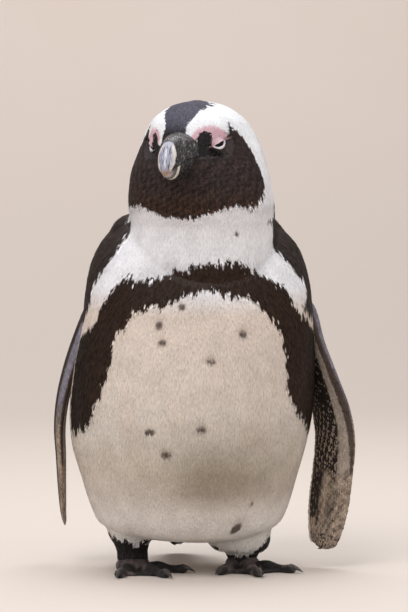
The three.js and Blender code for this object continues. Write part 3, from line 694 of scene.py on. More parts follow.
def flipper_markings(along, angle, side):
    """Colour of a flipper at a place along it and round it; angle 0 is the leading edge."""
    chord = np.cos(angle)
    under = np.degrees(np.arctan2(np.sin(angle) * side, chord))  # from the leading edge inwards
    p = np.stack([along * 230, chord * 24, np.sin(angle) * 6 * side], -1)
    rough = wobble(p, 15, 5 + side) * 0.5 + wobble(p, 6, 9 + side) * 0.4
    fine = wobble(p, 3.2, 21 + side)
    black, brown = np.array([0.026, 0.020, 0.018]), np.array([0.060, 0.044, 0.037])
    lilac_sky_sheen, cream = np.array([0.190, 0.176, 0.210]), np.array([0.42, 0.35, 0.30])
    beige = np.array([0.44, 0.35, 0.28])
    mottled = beige * np.clip(0.80 + 0.30 * rough + 0.30 * fine, 0.22, 1.25)[:, None]
    tint = np.tile(black, (len(p), 1))
    specks = (fine > 0.85 - 0.5 * smoothstep(along, 0.36, 0.52)) & (along > 0.12)
    tint[specks] = beige * 0.8
    tongue = 0.595 + 0.035 * np.exp(-((chord - 0.22) / 0.2) ** 2) + 0.012 * rough
    low = smoothstep(along - tongue, -0.008, 0.012)[:, None]
    tint += (mottled - tint) * low
    strip = smoothstep(-chord + 0.10 * rough, 0.33, 0.43) * falling(along + 0.02 * rough, 0.75, 0.79)
    tint += (black * 1.5 - tint) * (strip * low[:, 0] * (0.55 + 0.45 * (fine < 0.8)))[:, None]
    streak = np.exp(-((chord - 0.09) / 0.20) ** 2 - ((along - 0.715) / 0.055) ** 2)
    tint *= 1 - 0.62 * streak[:, None]
    tint[(fine + rough > 0.75) & (along > 0.82)] = brown
    rim = smoothstep(under, 0, 8) * falling(under, 38, 46)
    tint += (brown * 1.5 - tint) * (rim * (1 - low[:, 0]))[:, None]
    centre = np.interp(along, [0, 0.1, 0.2, 0.3, 0.4, 0.5, 0.6], [38, 42, 46, 52, 57, 55, 50])
    width = np.interp(along, [0, 0.3, 0.5, 0.62], [9, 10, 15, 24])
    line = smoothstep(-np.abs(under - centre) / width - 0.15 * rough, -1.15, -0.75) * (1 - low[:, 0])
    tint += (cream * (1 + 0.15 * rough[:, None]) - tint) * line[:, None]
    # painted bluish sky sheen on the upper leading edge; lower down the edge keeps its mottled colour
    edge = smoothstep(under, -52, -40) * falling(under, 4, 16)
    upper = smoothstep(-along + 0.03 * rough, -0.50, -0.36)
    sheen = lilac_sky_sheen * (1 + 0.18 * rough[:, None]) * upper[:, None] + mottled * 0.85 * (1 - upper[:, None])
    tint += (sheen - tint) * edge[:, None]
    dorsal = smoothstep(-under, 44, 54) * (np.abs(under) < 179)
    tint += (BACK_BLACK * (1 + 0.3 * rough[:, None]) - tint) * dorsal[:, None]
    tint[(under < 0) & (chord < -0.86)] = cream * 1.4
    return tint


# %% [markdown]
# ## One skin
#
# Under the feathers a bird has one skin without seams. Trunk, head and thighs are lofted a coat's
# depth inside the solids and remeshed to one closed surface, which also melts the creases where
# they meet, then smoothed so that neck and shoulders flow together. Flippers and tail are too thin
# for that remesh, so they keep their own finer rings and reach into the body.

# %% Lay the skin
body = joined("skin", [
    loft("skin", trunk, 160, 120, BODY_COAT),
    loft("skin_hood", hood, 160, 140, FACE_COAT),
    loft("skin_leg_left", leg(1), 60, 40, BODY_COAT),
    loft("skin_leg_right", leg(-1), 60, 40, BODY_COAT)])
modify(body, "REMESH", mode="VOXEL", voxel_size=0.0022, adaptivity=0.0)
modify(body, "SMOOTH", factor=0.5, iterations=6)


def lid_bed(points, side):
    """Sinks the skin round an eye into a bed for its lids, so that only they show."""
    centre = eye_frame(side)[0]
    ray = points - centre
    far = np.linalg.norm(ray, axis=1)
    gap = slit_gap(points, side)
    bed = LID_RADIUS - LID_DEPTH + 0.7 * smoothstep(gap, 1.0, 3.5)
    kept = np.where(far > bed, smoothstep(gap, 2.6, 5.6), smoothstep(gap, 5, 8))
    return centre + ray * ((bed + (far - bed) * kept) / far)[:, None]


move_to(body, lid_bed(lid_bed(places(body), 1), -1))
tidy(body)
print("skin of the body:", len(body.data.polygons), "faces")

# %% [markdown]
# ## Finding the skin again
#
# Feathers and lids have to sit on the skin that came out of the remesh, not on the form that went
# in. A search tree over its faces answers two questions fast: where is the nearest skin, and where
# does a ray from the eye meet it.

# %% Find places on the skin
skin_points = places(body)
body_tree = BVHTree.FromPolygons([tuple(p) for p in skin_points],
                                 [tuple(f.vertices) for f in body.data.polygons])
skin_normals = np.empty(len(body.data.vertices) * 3, np.float32)
body.data.vertices.foreach_get("normal", skin_normals)
skin_normals = skin_normals.reshape(-1, 3)
face_vertex = [f.vertices[0] for f in body.data.polygons]


def on_skin(points):
    """The nearest places of the body's skin, their normals and how far away they were."""
    spots, normals, gaps = np.empty_like(points), np.empty_like(points), np.empty(len(points))
    for k, p in enumerate(points):
        spot, _, face, gap = body_tree.find_nearest(Vector(p))
        spots[k] = spot
        normals[k] = skin_normals[face_vertex[face]]
        gaps[k] = gap
    return spots, normals, gaps


def on_leg(p):
    """Whose leg the points are on: 1 for the left, -1 for the right, 0 for the body."""
    side = np.where(p[:, 0] > -6, 1, -1)
    axis = np.where(side > 0, 40, -54)
    near = (np.hypot(p[:, 0] - axis, p[:, 1]) < 36) & (p[:, 2] < 36)
    return side * near


def plumage_at(p, edge=None):
    """The markings of body and legs together."""
    edge = p if edge is None else edge
    tint = markings(p, edge)
    for side in (1, -1):
        near = on_leg(p) == side
        tint[near] = leg_markings(p[near], edge[near], side)
    return tint


# %% [markdown]
# ## Feet
#
# A penguin's foot is three webbed toes and a small hind toe under a short shank. The toes are rows
# of swellings, one for each joint, with scutes pressed across their tops. The web is a fan cut from
# a grid, with a hollow front edge and fine folds. Toes, webs and pad are remeshed together, so that
# the skin runs over from one to the next as it does on the bird.

# %% Shape the feet
TOES = (("inner", -36, 50), ("middle", 0, 62), ("outer", 40, 55))
FEET = {1: dict(ankle=(42, -1), heading=6), -1: dict(ankle=(-54, -1), heading=22)}
HIND = dict(turn=-118, length=13, size=0.62)
TOE_HALF, TOE_HEIGHT, WEB_THICK = 6.2, 9.5, 3.2
CLAW_LENGTH, CLAW_HALF = 15, 3.1


def way(degrees):
    """A level direction, turned from straight ahead to the bird's left."""
    turn = math.radians(degrees)
    return np.array([math.sin(turn), -math.cos(turn), 0.0])


def toe_form(ankle, ahead, length, size=1.0):
    """A toe: swellings for its joints, scutes across the top, and less height than width."""
    across = np.array([-ahead[1], ahead[0], 0.0])

    def form(along, angle):
        along = column(along)
        share = np.clip((along - 0.04) / 0.92, 0, 1)
        cap = np.clip(np.sqrt(np.clip(np.minimum(along, 1 - along) / 0.06, 0, 1)), 0, 1)
        joints = 1 + 0.13 * np.cos(share * 4 * math.pi)
        half = TOE_HALF * size * joints * (1 - 0.28 * share) * cap - 0.3
        tall = TOE_HEIGHT * size * joints * (1 - 0.3 * share)
        up = np.cos(angle)
        scute = 0.22 * size * np.abs(np.sin(share * length / 2.6 * math.pi / 2)) * (up > 0.1)
        z = tall * 0.4 + tall * np.where(up > 0, 0.6, 0.42) * up * cap + scute * cap
        reach = -2.5 * size + along * (length + 5 * size)
        points = np.array([*ankle, 0.0]) + ahead * reach[:, None] + across * (np.sin(angle) * half)[:, None]
        points[:, 2] += z
        return points
    return form


def web(name, ankle, first, second, reach=0.86):
    """The web between two toes: a triangle cut into a fan, with a hollow front edge."""
    bpy.ops.mesh.primitive_grid_add(x_subdivisions=24, y_subdivisions=24, size=2)
    ob = bpy.context.object
    ob.name = name
    co = coords(ob)
    out, turn = (co[:, 0] + 1) / 2, (co[:, 1] + 1) / 2
    a, b = first[0] * first[1] * reach, second[0] * second[1] * reach
    middle = (first[0] + second[0]) / np.linalg.norm(first[0] + second[0])
    hollow = middle * min(first[1], second[1]) * reach * 0.72
    t = turn[:, None]
    rim = a * (1 - t) ** 2 + hollow * 2 * t * (1 - t) + b * t**2
    points = np.array([*ankle, 0.0]) + rim * out[:, None]
    points[:, 2] = 1.7 + 0.35 * np.sin(turn * 9 * math.pi) * out
    move_to(ob, points)
    tidy(ob, merge=1e-6)
    return modify(ob, "SOLIDIFY", thickness=WEB_THICK * 0.8 * MM, offset=0.0)


def toes_of(side):
    """Name, direction, length and size of each toe of a foot, the hind toe last."""
    heading = FEET[side]["heading"]
    toes = [(name, way(heading + splay * side), length, 1.0) for name, splay, length in TOES]
    return toes + [("hind", way(heading + HIND["turn"] * side), HIND["length"], HIND["size"])]


def foot(side):
    ankle = FEET[side]["ankle"]
    pieces = []
    for name, ahead, length, size in toes_of(side):
        rings = (24, 30) if name == "hind" else (40, 60)
        pieces.append(loft("toe", toe_form(ankle, ahead, length, size), *rings))
    inner, middle, outer = ((ahead, length) for _, ahead, length, _ in toes_of(side)[:3])
    pieces += [web("web", ankle, inner, middle), web("web", ankle, middle, outer)]

    def pad(along, angle):
        z = 4.5 - 9.2 * np.cos(along * math.pi)
        r = np.sin(along * math.pi)
        x, y = ankle[0] + 15.2 * r * np.sin(angle), ankle[1] - 2 - 14.7 * r * np.cos(angle)
        return np.stack([x, y, z], -1)

    pieces.append(loft("pad", pad, 40, 30))
    ob = joined("foot", pieces)
    modify(ob, "REMESH", mode="VOXEL", voxel_size=0.0009, adaptivity=0.0)
    modify(ob, "SMOOTH", factor=0.5, iterations=3)
    points = places(ob)
    points[:, 2] = np.maximum(points[:, 2], 0)
    move_to(ob, points)
    return tidy(ob)


feet = [foot(1), foot(-1)]
print("faces of the feet:", [len(f.data.polygons) for f in feet])

# %% [markdown]
# ## Eyelids
#
# The lids are two soft folds with a pale rim below. A sphere with a hole would do for a doll; here
# each pair is a ring that starts as a torus and is flattened into a shell that hugs the eyeball.
# Its inner edge follows the half-closed slit, its outer edge sinks under the skin, which is found
# with rays from the middle of the eye. Small folds run round it.

# %% Lids
def lids(side):
    """Both lids of an eye as one ring round its slit."""
    centre, out, back, up = eye_frame(side)
    bpy.ops.mesh.primitive_torus_add(major_segments=96, minor_segments=40,
                                     major_radius=1, minor_radius=0.25)
    ob = bpy.context.object
    co = coords(ob)
    round_eye = np.arctan2(co[:, 1], co[:, 0])
    ring = np.hypot(co[:, 0], co[:, 1]) - 1
    section = np.arctan2(co[:, 2], -ring)
    share = (1 - np.cos(section)) / 2
    c, s = np.cos(round_eye), np.sin(round_eye)
    edge = slit_edge(c, s)
    gap = share * (RIM_WIDTH + 0.5 + 3.6 * smoothstep(s, -0.3, 0.3)) * (1 - 0.45 * c * c)
    turn = (edge + gap) / LID_RADIUS
    x, y = c * np.sin(turn), s * np.sin(turn)
    ct, st = math.cos(SLIT["tilt"]), math.sin(SLIT["tilt"])
    x, y = x * ct - y * st, x * st + y * ct
    x, y = (v + shift / LID_RADIUS for v, shift in zip((x, y), SLIT_PLACE[side]))
    over = np.maximum(np.hypot(x, y) / 0.96, 1)
    x, y = x / over, y / over
    deep = np.sqrt(1 - x * x - y * y)
    ray = x[:, None] * back + y[:, None] * up + deep[:, None] * out
    ray /= np.linalg.norm(ray, axis=1, keepdims=True)
    cheek = np.array([body_tree.ray_cast(Vector(centre), Vector(d))[3] or LID_RADIUS for d in ray])
    cheek = np.minimum(cheek, LID_RADIUS + 1.5)
    flush = np.maximum(cheek + 0.15, EYE["radius"] + 0.1)
    over = smoothstep(gap, 1.5, 5.5)
    rim = np.exp(-((gap - 1.0) / 1.0) ** 2) * np.where(s > 0, 0.15, 0.25)
    folds = 0.10 * np.cos(gap * 2 * math.pi / 1.9) * smoothstep(s, -0.1, 0.5) * smoothstep(gap, 1.5, 4)
    top = np.maximum(LID_RADIUS + rim + (flush - LID_RADIUS) * over, cheek + 0.12) + folds
    top = top - 1.3 * smoothstep(share, 0.88, 1.0)
    inner = np.minimum(top - 0.5, LID_RADIUS - LID_DEPTH)
    thin = np.clip(np.sin(section) * 2.2, -1, 1)
    radius = np.where(thin > 0, inner + (top - inner) * thin, inner + 0.6 * thin)
    points = centre + radius[:, None] * ray
    move_to(ob, points)
    tidy(ob)
    give(ob, "tint", lid_tint(points, gap, s), "COLOR")
    return ob


def lid_tint(points, gap, s):
    """Colour of the lids: a pale rim below the slit, and pink or feathered skin over it, with a painted
    highlight along the upper rim.
    """
    near = falling(gap, RIM_WIDTH - 0.4, RIM_WIDTH + 0.1)[:, None]
    lower_tint = LORE_BLACK + (LID_WHITE - LORE_BLACK) * near
    # painted highlight: a pale streak along the upper lid's rim
    pale = 0.6 * np.exp(-((gap - 0.9) / 0.9) ** 2) * (1 - 0.5 * np.exp(-(gap / 0.35) ** 2))
    upper_tint = PINK + (LID_WHITE - PINK) * pale[:, None]
    upper_tint = np.where((bare_skin(points) | (gap < 2))[:, None], upper_tint, markings(points))
    return lower_tint + (upper_tint - lower_tint) * smoothstep(s, -0.2, 0.05)[:, None]


lid_pieces = [lids(1), lids(-1)]

# %% [markdown]
# ## Colouring and joining the skin
#
# The skin takes the markings as a colour on each vertex, pink over the eyes and black on the feet.
# Its parts are then joined, because the solids of head, neck, trunk, tail, flippers, legs and feet
# are all replaced by this one piece.

# %% Colours of the skin of body and feet
FOOT_BLACK = np.array([0.030, 0.026, 0.025])
pink = pink_patch(skin_points)
skin_tint = np.where(bare_skin(skin_points)[:, None], LORE_BLACK, plumage_at(skin_points))
give(body, "tint", np.where(pink[:, None], PINK, skin_tint), "COLOR")
for f in feet:
    give(f, "tint", np.tile(FOOT_BLACK, (len(f.data.vertices), 1)), "COLOR")


# %% Skin of the flippers and the tail
def wing(side, rings=(56, 120)):
    """The skin of a flipper, coloured by where its points lay on the ball that it was made from."""
    ob = loft("wing", flipper(side), *rings, WING_COAT)
    plain = ball("plain", *rings)
    along, angle = ball_place(coords(plain))
    bpy.data.objects.remove(plain, do_unlink=True)
    give(ob, "tint", flipper_markings(along, angle, side), "COLOR")
    return ob


wings = [wing(1), wing(-1)]
rump = loft("rump", tail, 40, 50, BODY_COAT)
move_to(rump, np.clip(places(rump), BOX_LOW, BOX_HIGH))
give(rump, "tint", np.tile(BACK_BLACK, (len(rump.data.vertices), 1)), "COLOR")

# %% Join the skin
SHANK_TOP = 13  # height under which the legs' skin is scaled
MATERIALS = {}


def material(name):
    """A material by its name, made empty where it is first asked for and finished further on."""
    if name not in MATERIALS:
        MATERIALS[name] = bpy.data.materials.new(name)
        MATERIALS[name].use_nodes = True
    return MATERIALS[name]


def use(ob, *names):
    """Gives an object its material slots, by name."""
    ob.data.materials.clear()
    for name in names:
        ob.data.materials.append(material(name))


use(body, "plumage_under", "bare_face", "foot_scales")
for ob in wings + [rump]:
    use(ob, "plumage_under")
for ob in lid_pieces:
    use(ob, "bare_face")
for ob in feet:
    use(ob, "foot_scales")
slot_of_point = np.where(pink, 1, np.where(skin_points[:, 2] < SHANK_TOP, 2, 0))
body.data.polygons.foreach_set("material_index", slot_of_point[face_vertex].astype(np.int32))
skin = joined("skin", [body] + wings + [rump] + lid_pieces + feet)
print("the whole skin:", len(skin.data.polygons), "faces")
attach(skin, "root")
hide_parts("head", "neck", "trunk", "tail", "flipper_left", "flipper_right",
            "leg_left", "leg_right", "foot_left", "foot_right")

# %% [markdown]
# ## The coat
#
# A penguin has short stiff feathers that overlap like tiles. A particle system can't be kept as a
# mesh, so the feathers are real vanes in joined meshes. They are set in staggered rows round each
# form, dropped on to the skin and turned to lie the way feathers do: away from the bill on the
# face, down the body, and out along flippers and tail. A little chance in place, size and tone
# keeps the rows from showing.

# %% Rows of roots
def run_of(points):
    """How far each point of a line lies from its start, measured along the line."""
    return np.concatenate([[0], np.cumsum(np.linalg.norm(np.diff(points, axis=0), axis=1))])


def rows_on(form, row, across, start=0.0, stop=1.0):
    """Staggered roots over a form: places along it and angles round it, row and across in mm."""
    steps = np.linspace(start, stop, 500)
    length = run_of(form(steps, np.full(len(steps), math.pi / 2)))
    stations = np.interp(np.arange(row / 2, length[-1], row), length, steps)
    alongs, angles = [], []
    ring = np.linspace(-math.pi, math.pi, 73)
    for k, place in enumerate(stations):
        run = run_of(form(np.full(len(ring), place), ring))
        count = max(int(run[-1] / across), 3)
        at = (np.arange(count) + 0.5 * (k % 2) + 0.22 * rng.normal(size=count)) % count
        angles.append(np.interp(at / count * run[-1], run, ring))
        alongs.append(place + 0.2 * rng.normal(size=count) * row / max(length[-1], 1) * (stop - start))
    return np.clip(np.concatenate(alongs), 0.002, 0.998), np.concatenate(angles)


def in_trunk(p):
    """Whether points lie inside the trunk, where nothing needs a coat."""
    z = TRUNK[:, 0]
    x, y, side, front, back = (np.interp(p[:, 2], z, TRUNK[:, k]) for k in range(1, 6))
    depth = np.where(p[:, 1] < y, front, back)
    inner = ((p[:, 0] - x) / np.maximum(side, 1)) ** 2 + ((p[:, 1] - y) / np.maximum(depth, 1)) ** 2
    return (inner < 0.985) & (p[:, 2] > z[0]) & (p[:, 2] < z[-1])


def in_hood(p):
    """Whether points lie inside the head and neck."""
    z = HOOD[:, 0]
    side, front, back, turn, power = (np.interp(p[:, 2], z, HOOD[:, k]) for k in range(1, 6))
    yaw = HEAD_TURN * turn
    dx, dy = p[:, 0] - NECK[0], p[:, 1] - NECK[1]
    forward, left = dx * np.sin(yaw) - dy * np.cos(yaw), dx * np.cos(yaw) + dy * np.sin(yaw)
    depth = np.maximum(np.where(forward > 0, front, back), 1)
    inner = (np.abs(forward) / depth) ** power + (np.abs(left) / np.maximum(side, 1)) ** power
    return (inner < 0.97) & (p[:, 2] > z[0]) & (p[:, 2] < z[-1] - 1)


def unwrapped(along, angle):
    """A place on the unwrap of a form: the angle runs across it and the length up it."""
    share = np.stack([angle / (2 * math.pi) % 1, along], -1)
    return UNWRAP_EDGE + (1 - 2 * UNWRAP_EDGE) * share


# %% [markdown]
# ## A vane
#
# One vane is a narrow leaf of eight triangles, slightly arched, whose tip lifts over the next row.
# Tens of thousands of copies as objects would slow Blender to a crawl, so their points are worked
# out all at once and given to one mesh. Each vane has its own small patch on a map of the form.

# %% Building many vanes as one mesh
VANE = np.array([  # share of the length, share of the half width, arch
    (0.00, 0.0, 0.0), (0.30, -0.8, 0.0), (0.30, 0.0, 1.0), (0.30, 0.8, 0.0),
    (0.68, -0.85, 0.0), (0.68, 0.0, 0.8), (0.68, 0.85, 0.0), (1.00, 0.0, 0.0)])
VANE_FACES = np.array([(0, 2, 1), (0, 3, 2), (1, 2, 5), (1, 5, 4),
                       (2, 3, 6), (2, 6, 5), (4, 5, 7), (5, 6, 7)])
UNWRAP_EDGE = 0.01  # what is left free round the unwrap
PATCH_WIDTH, PATCH_HEIGHT = 0.0012, 0.003  # half the width and the height of a vane's patch on it


def per_point(values):
    """Repeats each vane's value for all its points."""
    return np.repeat(values, len(VANE), axis=0)


def vanes(name, root, normal, lie, length, half, lift, tint, uv, arch=0.12, painted_tip_light=0.12):
    """A coat piece: root, normal and lie per vane, sizes in mm, lift of the tip as a share.

    The tint is a colour for each vane, or a function from the places of all its points.
    """
    count = len(root)
    lie = lie - normal * (lie * normal).sum(1, keepdims=True)
    lie /= np.maximum(np.linalg.norm(lie, axis=1, keepdims=True), 1e-9)
    side = np.cross(normal, lie)
    t, s, h = VANE.T
    rise = (np.outer(length * lift, t - 0.3 * t * t) + np.outer(half * arch, h))[..., None]
    points = (root[:, None] + lie[:, None] * np.outer(length, t)[..., None]
              - side[:, None] * np.outer(half, s)[..., None] + normal[:, None] * rise)
    points = np.clip(points.reshape(-1, 3), BOX_LOW, BOX_HIGH)
    tints = tint(points) if callable(tint) else per_point(tint)
    mesh = bpy.data.meshes.new(name)
    mesh.vertices.add(len(points))
    mesh.vertices.foreach_set("co", (points * MM + SHIFT).ravel())
    faces = (VANE_FACES[None] + len(VANE) * np.arange(count)[:, None, None]).reshape(-1)
    mesh.loops.add(len(faces))
    mesh.loops.foreach_set("vertex_index", faces.astype(np.int32))
    mesh.polygons.add(len(faces) // 3)
    mesh.polygons.foreach_set("loop_start", np.arange(0, len(faces), 3, dtype=np.int32))
    mesh.update(calc_edges=True)
    mesh.validate()
    mesh.shade_smooth()
    layer = mesh.uv_layers.new(name="OFBake")
    patch = np.stack([s * PATCH_WIDTH, (t - 0.5) * PATCH_HEIGHT], -1)
    corner = (uv[:, None] + patch[None]).reshape(-1, 2)[faces]
    layer.data.foreach_set("uv", corner.ravel())
    ob = bpy.data.objects.new(name, mesh)
    bpy.context.scene.collection.objects.link(ob)
    # painted shade and light along each vane: darker at the root, lighter at the tip
    give(ob, "tint", tints * np.tile(1 + painted_tip_light * (t - 0.4), count)[:, None], "COLOR")
    give(ob, "along", np.tile(t, count))
    give(ob, "chance", per_point(rng.random(count)))
    use(ob, "plumage")
    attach(ob, "root")
    print(name, count, "vanes,", len(mesh.polygons), "triangles")
    return ob


def spread(base, share, count):
    """Sizes about a base, each a little off by chance."""
    return base * (1 + share * rng.normal(size=count)).clip(0.6, 1.4)


# %% [markdown]
# ## Coat of the body
#
# Feathers are smallest on the face and grow towards the breast. They leave the bare skin and the
# lids free, and round the eyes they stand out from the middle of the eyeball, so that they fan
# round it. Where the bird is dark they lift more and differ more in tone, which gives the black its
# depth.

# %% Coat of the trunk
def lie_of(p):
    """The way a feather points on head and body: away from the bill near it, and down."""
    away = p - head_point(60, 0, 366)
    far = np.linalg.norm(away, axis=1, keepdims=True)
    share = np.exp(-((far / 70) ** 2))
    down = np.array([0, 0.10, -1.0])
    return away / np.maximum(far, 1) * share + down * (1 - share)


def ragged(p):
    """Shifts that make the borders of the markings uneven, with teeth along the feathers."""
    shift = np.stack([wobble(p, 6.5, k) + 0.6 * wobble(p, 3.2, k + 9) for k in (31, 32, 33)], -1)
    teeth = wobble(p * (1, 1, 0.12), 5.0, 34)
    notches = wobble(p * (0.12, 0.12, 1), 6.0, 35)
    return shift + np.stack([1.3 * notches, 0 * teeth, 2.2 * teeth], -1)


def body_coat(name, form, row, across, keep, size, paint=plumage_at, start=0.0, stop=1.0):
    """A piece of the coat on body, head or leg; keep chooses the roots and size measures the vanes."""
    along, angle = rows_on(form, row, across, start, stop)
    p = form(along, angle)
    chosen = keep(p)
    along, angle, p = along[chosen], angle[chosen], p[chosen]
    root, normal, gap = on_skin(p)
    for side in (1, -1):
        centre = eye_frame(side)[0]
        by_eye = slit_gap(root, side) < 7
        ray = root[by_eye] - centre
        normal[by_eye] = ray / np.linalg.norm(ray, axis=1, keepdims=True)
    clear = eyes_gap(root) > RIM_WIDTH + 0.9
    near = (gap < 6) & clear & ~bare_skin(root)
    along, angle, root, normal = along[near], angle[near], root[near], normal[near]
    count = len(root)
    length, half, lift = size(root)
    dark = paint(root + lie_of(root) * length[:, None] * 0.5).sum(1) < 0.4
    lie = lie_of(root) + rng.normal(size=(count, 3)) * np.where(dark, 0.13, 0.07)[:, None]
    tone = (1 + np.where(dark, 0.22, 0.02) * rng.normal(size=count)).clip(0.4, 1.8)
    drift = lie * rng.normal(size=(count, 1)) * length[:, None] * 0.22 + rng.normal(size=(count, 3)) * 0.3

    def colours(points):
        edge = points + per_point(drift) + ragged(points) * per_point(length)[:, None] * 0.15
        return paint(points, edge) * per_point(tone)[:, None]

    length = spread(length, 0.12, count) * np.where(dark, 1.12, 1.0)
    lift = lift * (1 + 0.25 * rng.normal(size=count)).clip(0.3, 2) * np.where(dark, 1.5, 0.7)
    return vanes(name, root, normal, lie, length, spread(half, 0.1, count), lift, colours,
                 unwrapped(along, angle), arch=0.09, painted_tip_light=0.04)


def trunk_size(p):
    """Length, half width and lift of the vanes on the trunk, shorter low down."""
    lower = falling(p[:, 2], 30, 70)
    one = np.ones(len(p))
    return 6.6 * one - 1.6 * lower, 1.05 * one - 0.15 * lower, 0.05 * one


def hood_size(p):
    """The same on head and neck, growing away from the bill."""
    grow = smoothstep(np.linalg.norm(p - head_point(58, 0, 366), axis=1), 12, 95)
    return 1.7 + 3.8 * grow, 0.42 + 0.45 * grow, 0.055 - 0.01 * grow


def leg_size(p):
    one = np.ones(len(p))
    return 3.6 * one, 0.8 * one, 0.08 * one


WAIST = 150  # height that parts the trunk's coat into pieces
coat = []
for name, ahead, above in (("breast", 1, 1), ("belly", 1, -1), ("back", -1, 1), ("rump", -1, -1)):
    def quarter(p):
        return (p[:, 1] * ahead < 0) & ((p[:, 2] - WAIST) * above >= 0) & ~in_hood(p)
    coat.append(body_coat(f"coat_{name}", trunk, 2.1, 1.6, quarter, trunk_size, markings))

# %% Coat of the head and neck
FACE_FROM = 8  # how far ahead of the neck's axis the finer coat of the face begins


def on_neck(p):
    return (p[:, 2] < HEAD_FROM) & ~in_trunk(p)


def on_face(p):
    return (p[:, 2] >= HEAD_FROM) & (head_place(p)[0] > FACE_FROM)


def on_nape(p):
    return (p[:, 2] >= HEAD_FROM) & (head_place(p)[0] <= FACE_FROM)


coat += [
    body_coat("coat_neck", hood, 1.8, 1.4, on_neck, hood_size, markings, 0.1, 0.5),
    body_coat("coat_face", hood, 1.15, 0.9, on_face, hood_size, markings, 0.4, 1.0),
    body_coat("coat_nape", hood, 1.3, 1.05, on_nape, hood_size, markings, 0.4, 1.0)]

# %% Coat of the thighs
for side, name in ((1, "left"), (-1, "right")):
    coat.append(body_coat(f"coat_leg_{name}", leg(side), 1.6, 1.3,
                          lambda p: ~in_trunk(p) & (p[:, 2] > 10), leg_size))

# %% [markdown]
# ## Coat of the flippers
#
# A flipper's feathers are like scales: very short, flat and all alike. They need no search for the
# skin, because the flipper's own form is smooth and was not remeshed.

# %% Coat of the flippers
def flipper_coat(side, name):
    """Short vanes along the flipper, longer at the shoulder, rooted in its own form."""
    form = flipper(side)
    along, angle = rows_on(form, 1.6, 1.2, 0.06, 0.985)
    p = form(along, angle)
    chosen = ~in_trunk(p)
    along, angle, p = along[chosen], angle[chosen], p[chosen]
    normal = normal_of(form, along, angle)
    count = len(p)
    lie = form(np.clip(along + 0.01, 0, 1), angle) - form(np.clip(along - 0.01, 0, 1), angle)
    lie /= np.maximum(np.linalg.norm(lie, axis=1, keepdims=True), 1e-9)
    lie = lie + 0.08 * rng.normal(size=(count, 3))
    tint = flipper_markings(along + 0.006, angle, side)
    tint = tint * (1 + 0.13 * rng.normal(size=count))[:, None].clip(0.5, 1.6)
    shoulder = falling(along, 0.1, 0.25)
    return vanes(f"coat_flipper_{name}", p - normal * WING_COAT, normal, lie,
                 spread(2.6, 0.1, count) * (1 + shoulder), spread(0.72, 0.1, count) * (1 + 0.4 * shoulder),
                 0.07 * np.ones(count), tint, unwrapped(along, angle), painted_tip_light=0.12)


coat += [flipper_coat(1, "left"), flipper_coat(-1, "right")]


# %% [markdown]
# ## Tail
#
# The tail is a short stiff wedge of narrow feathers, which end together at its tip. Their length is
# cut to what is left of the form, so that none stands out behind it.

# %% Stiff feathers of the tail
def tail_coat():
    """A fan of long narrow feathers over and under the rump, the longest in the middle."""
    along, angle = rows_on(tail, 4.5, 3.0, 0.12, 0.8)
    p = tail(along, angle)
    chosen = ~in_trunk(p)
    along, angle, p = along[chosen], angle[chosen], p[chosen]
    normal = normal_of(tail, along, angle)
    count = len(p)
    tip = tail(np.full(count, 0.985), angle)
    reach = np.linalg.norm(tip - p, axis=1)
    length = np.minimum(spread(16, 0.12, count), reach)
    lie = tail(np.clip(along + 0.05, 0, 1), angle) - p + 0.4 * rng.normal(size=(count, 3))
    tint = np.tile(BACK_BLACK, (count, 1)) * (1 + 0.25 * rng.normal(size=count))[:, None].clip(0.5, 1.7)
    return vanes("coat_tail", p - normal * TAIL_COAT, normal, lie, length, spread(1.5, 0.1, count),
                 0.035 * np.ones(count), tint, unwrapped(along, angle), painted_tip_light=0.3)


coat.append(tail_coat())
print("the coat has", sum(len(c.data.polygons) for c in coat), "triangles")

# %% [markdown]
# ## Bill
#
# A penguin's bill is a box of horn plates: a dark rear part with worn strokes, a pale band, and a
# nail that hooks over the lower half. Both halves are lofts of the same rings as the solids, with
# the finer things added: the groove and nostril on the side, the overlapping plates, and the lip
# where the halves meet.

# %% Bill forms
BILL = {  # domed line, flat line and half width
    "upper": np.array([
        (34, 374, 31, 366, 9), (44, 379, 41, 363, 18.5), (62, 381, 57, 361.5, 17.6),
        (78, 379, 71, 359.2, 14), (91, 374.5, 83, 356.8, 11.8), (101, 366.5, 92, 353.8, 10.2),
        (107, 356.5, 99.5, 349.8, 7), (108.5, 349.5, 104.5, 346.5, 3.2),
        (107, 343, 107, 343, 0)], float),
    "lower": np.array([
        (33, 354, 31, 362, 8), (43, 347, 41, 362.3, 16.2), (59, 343, 57, 360.8, 15.4),
        (73, 340.8, 71, 358.5, 12), (85, 340.5, 83, 356.1, 10.2), (93, 341.5, 91, 353.4, 8.4),
        (98, 344, 96, 350.8, 5.4), (99.8, 346.8, 99.8, 346.8, 0)], float)}


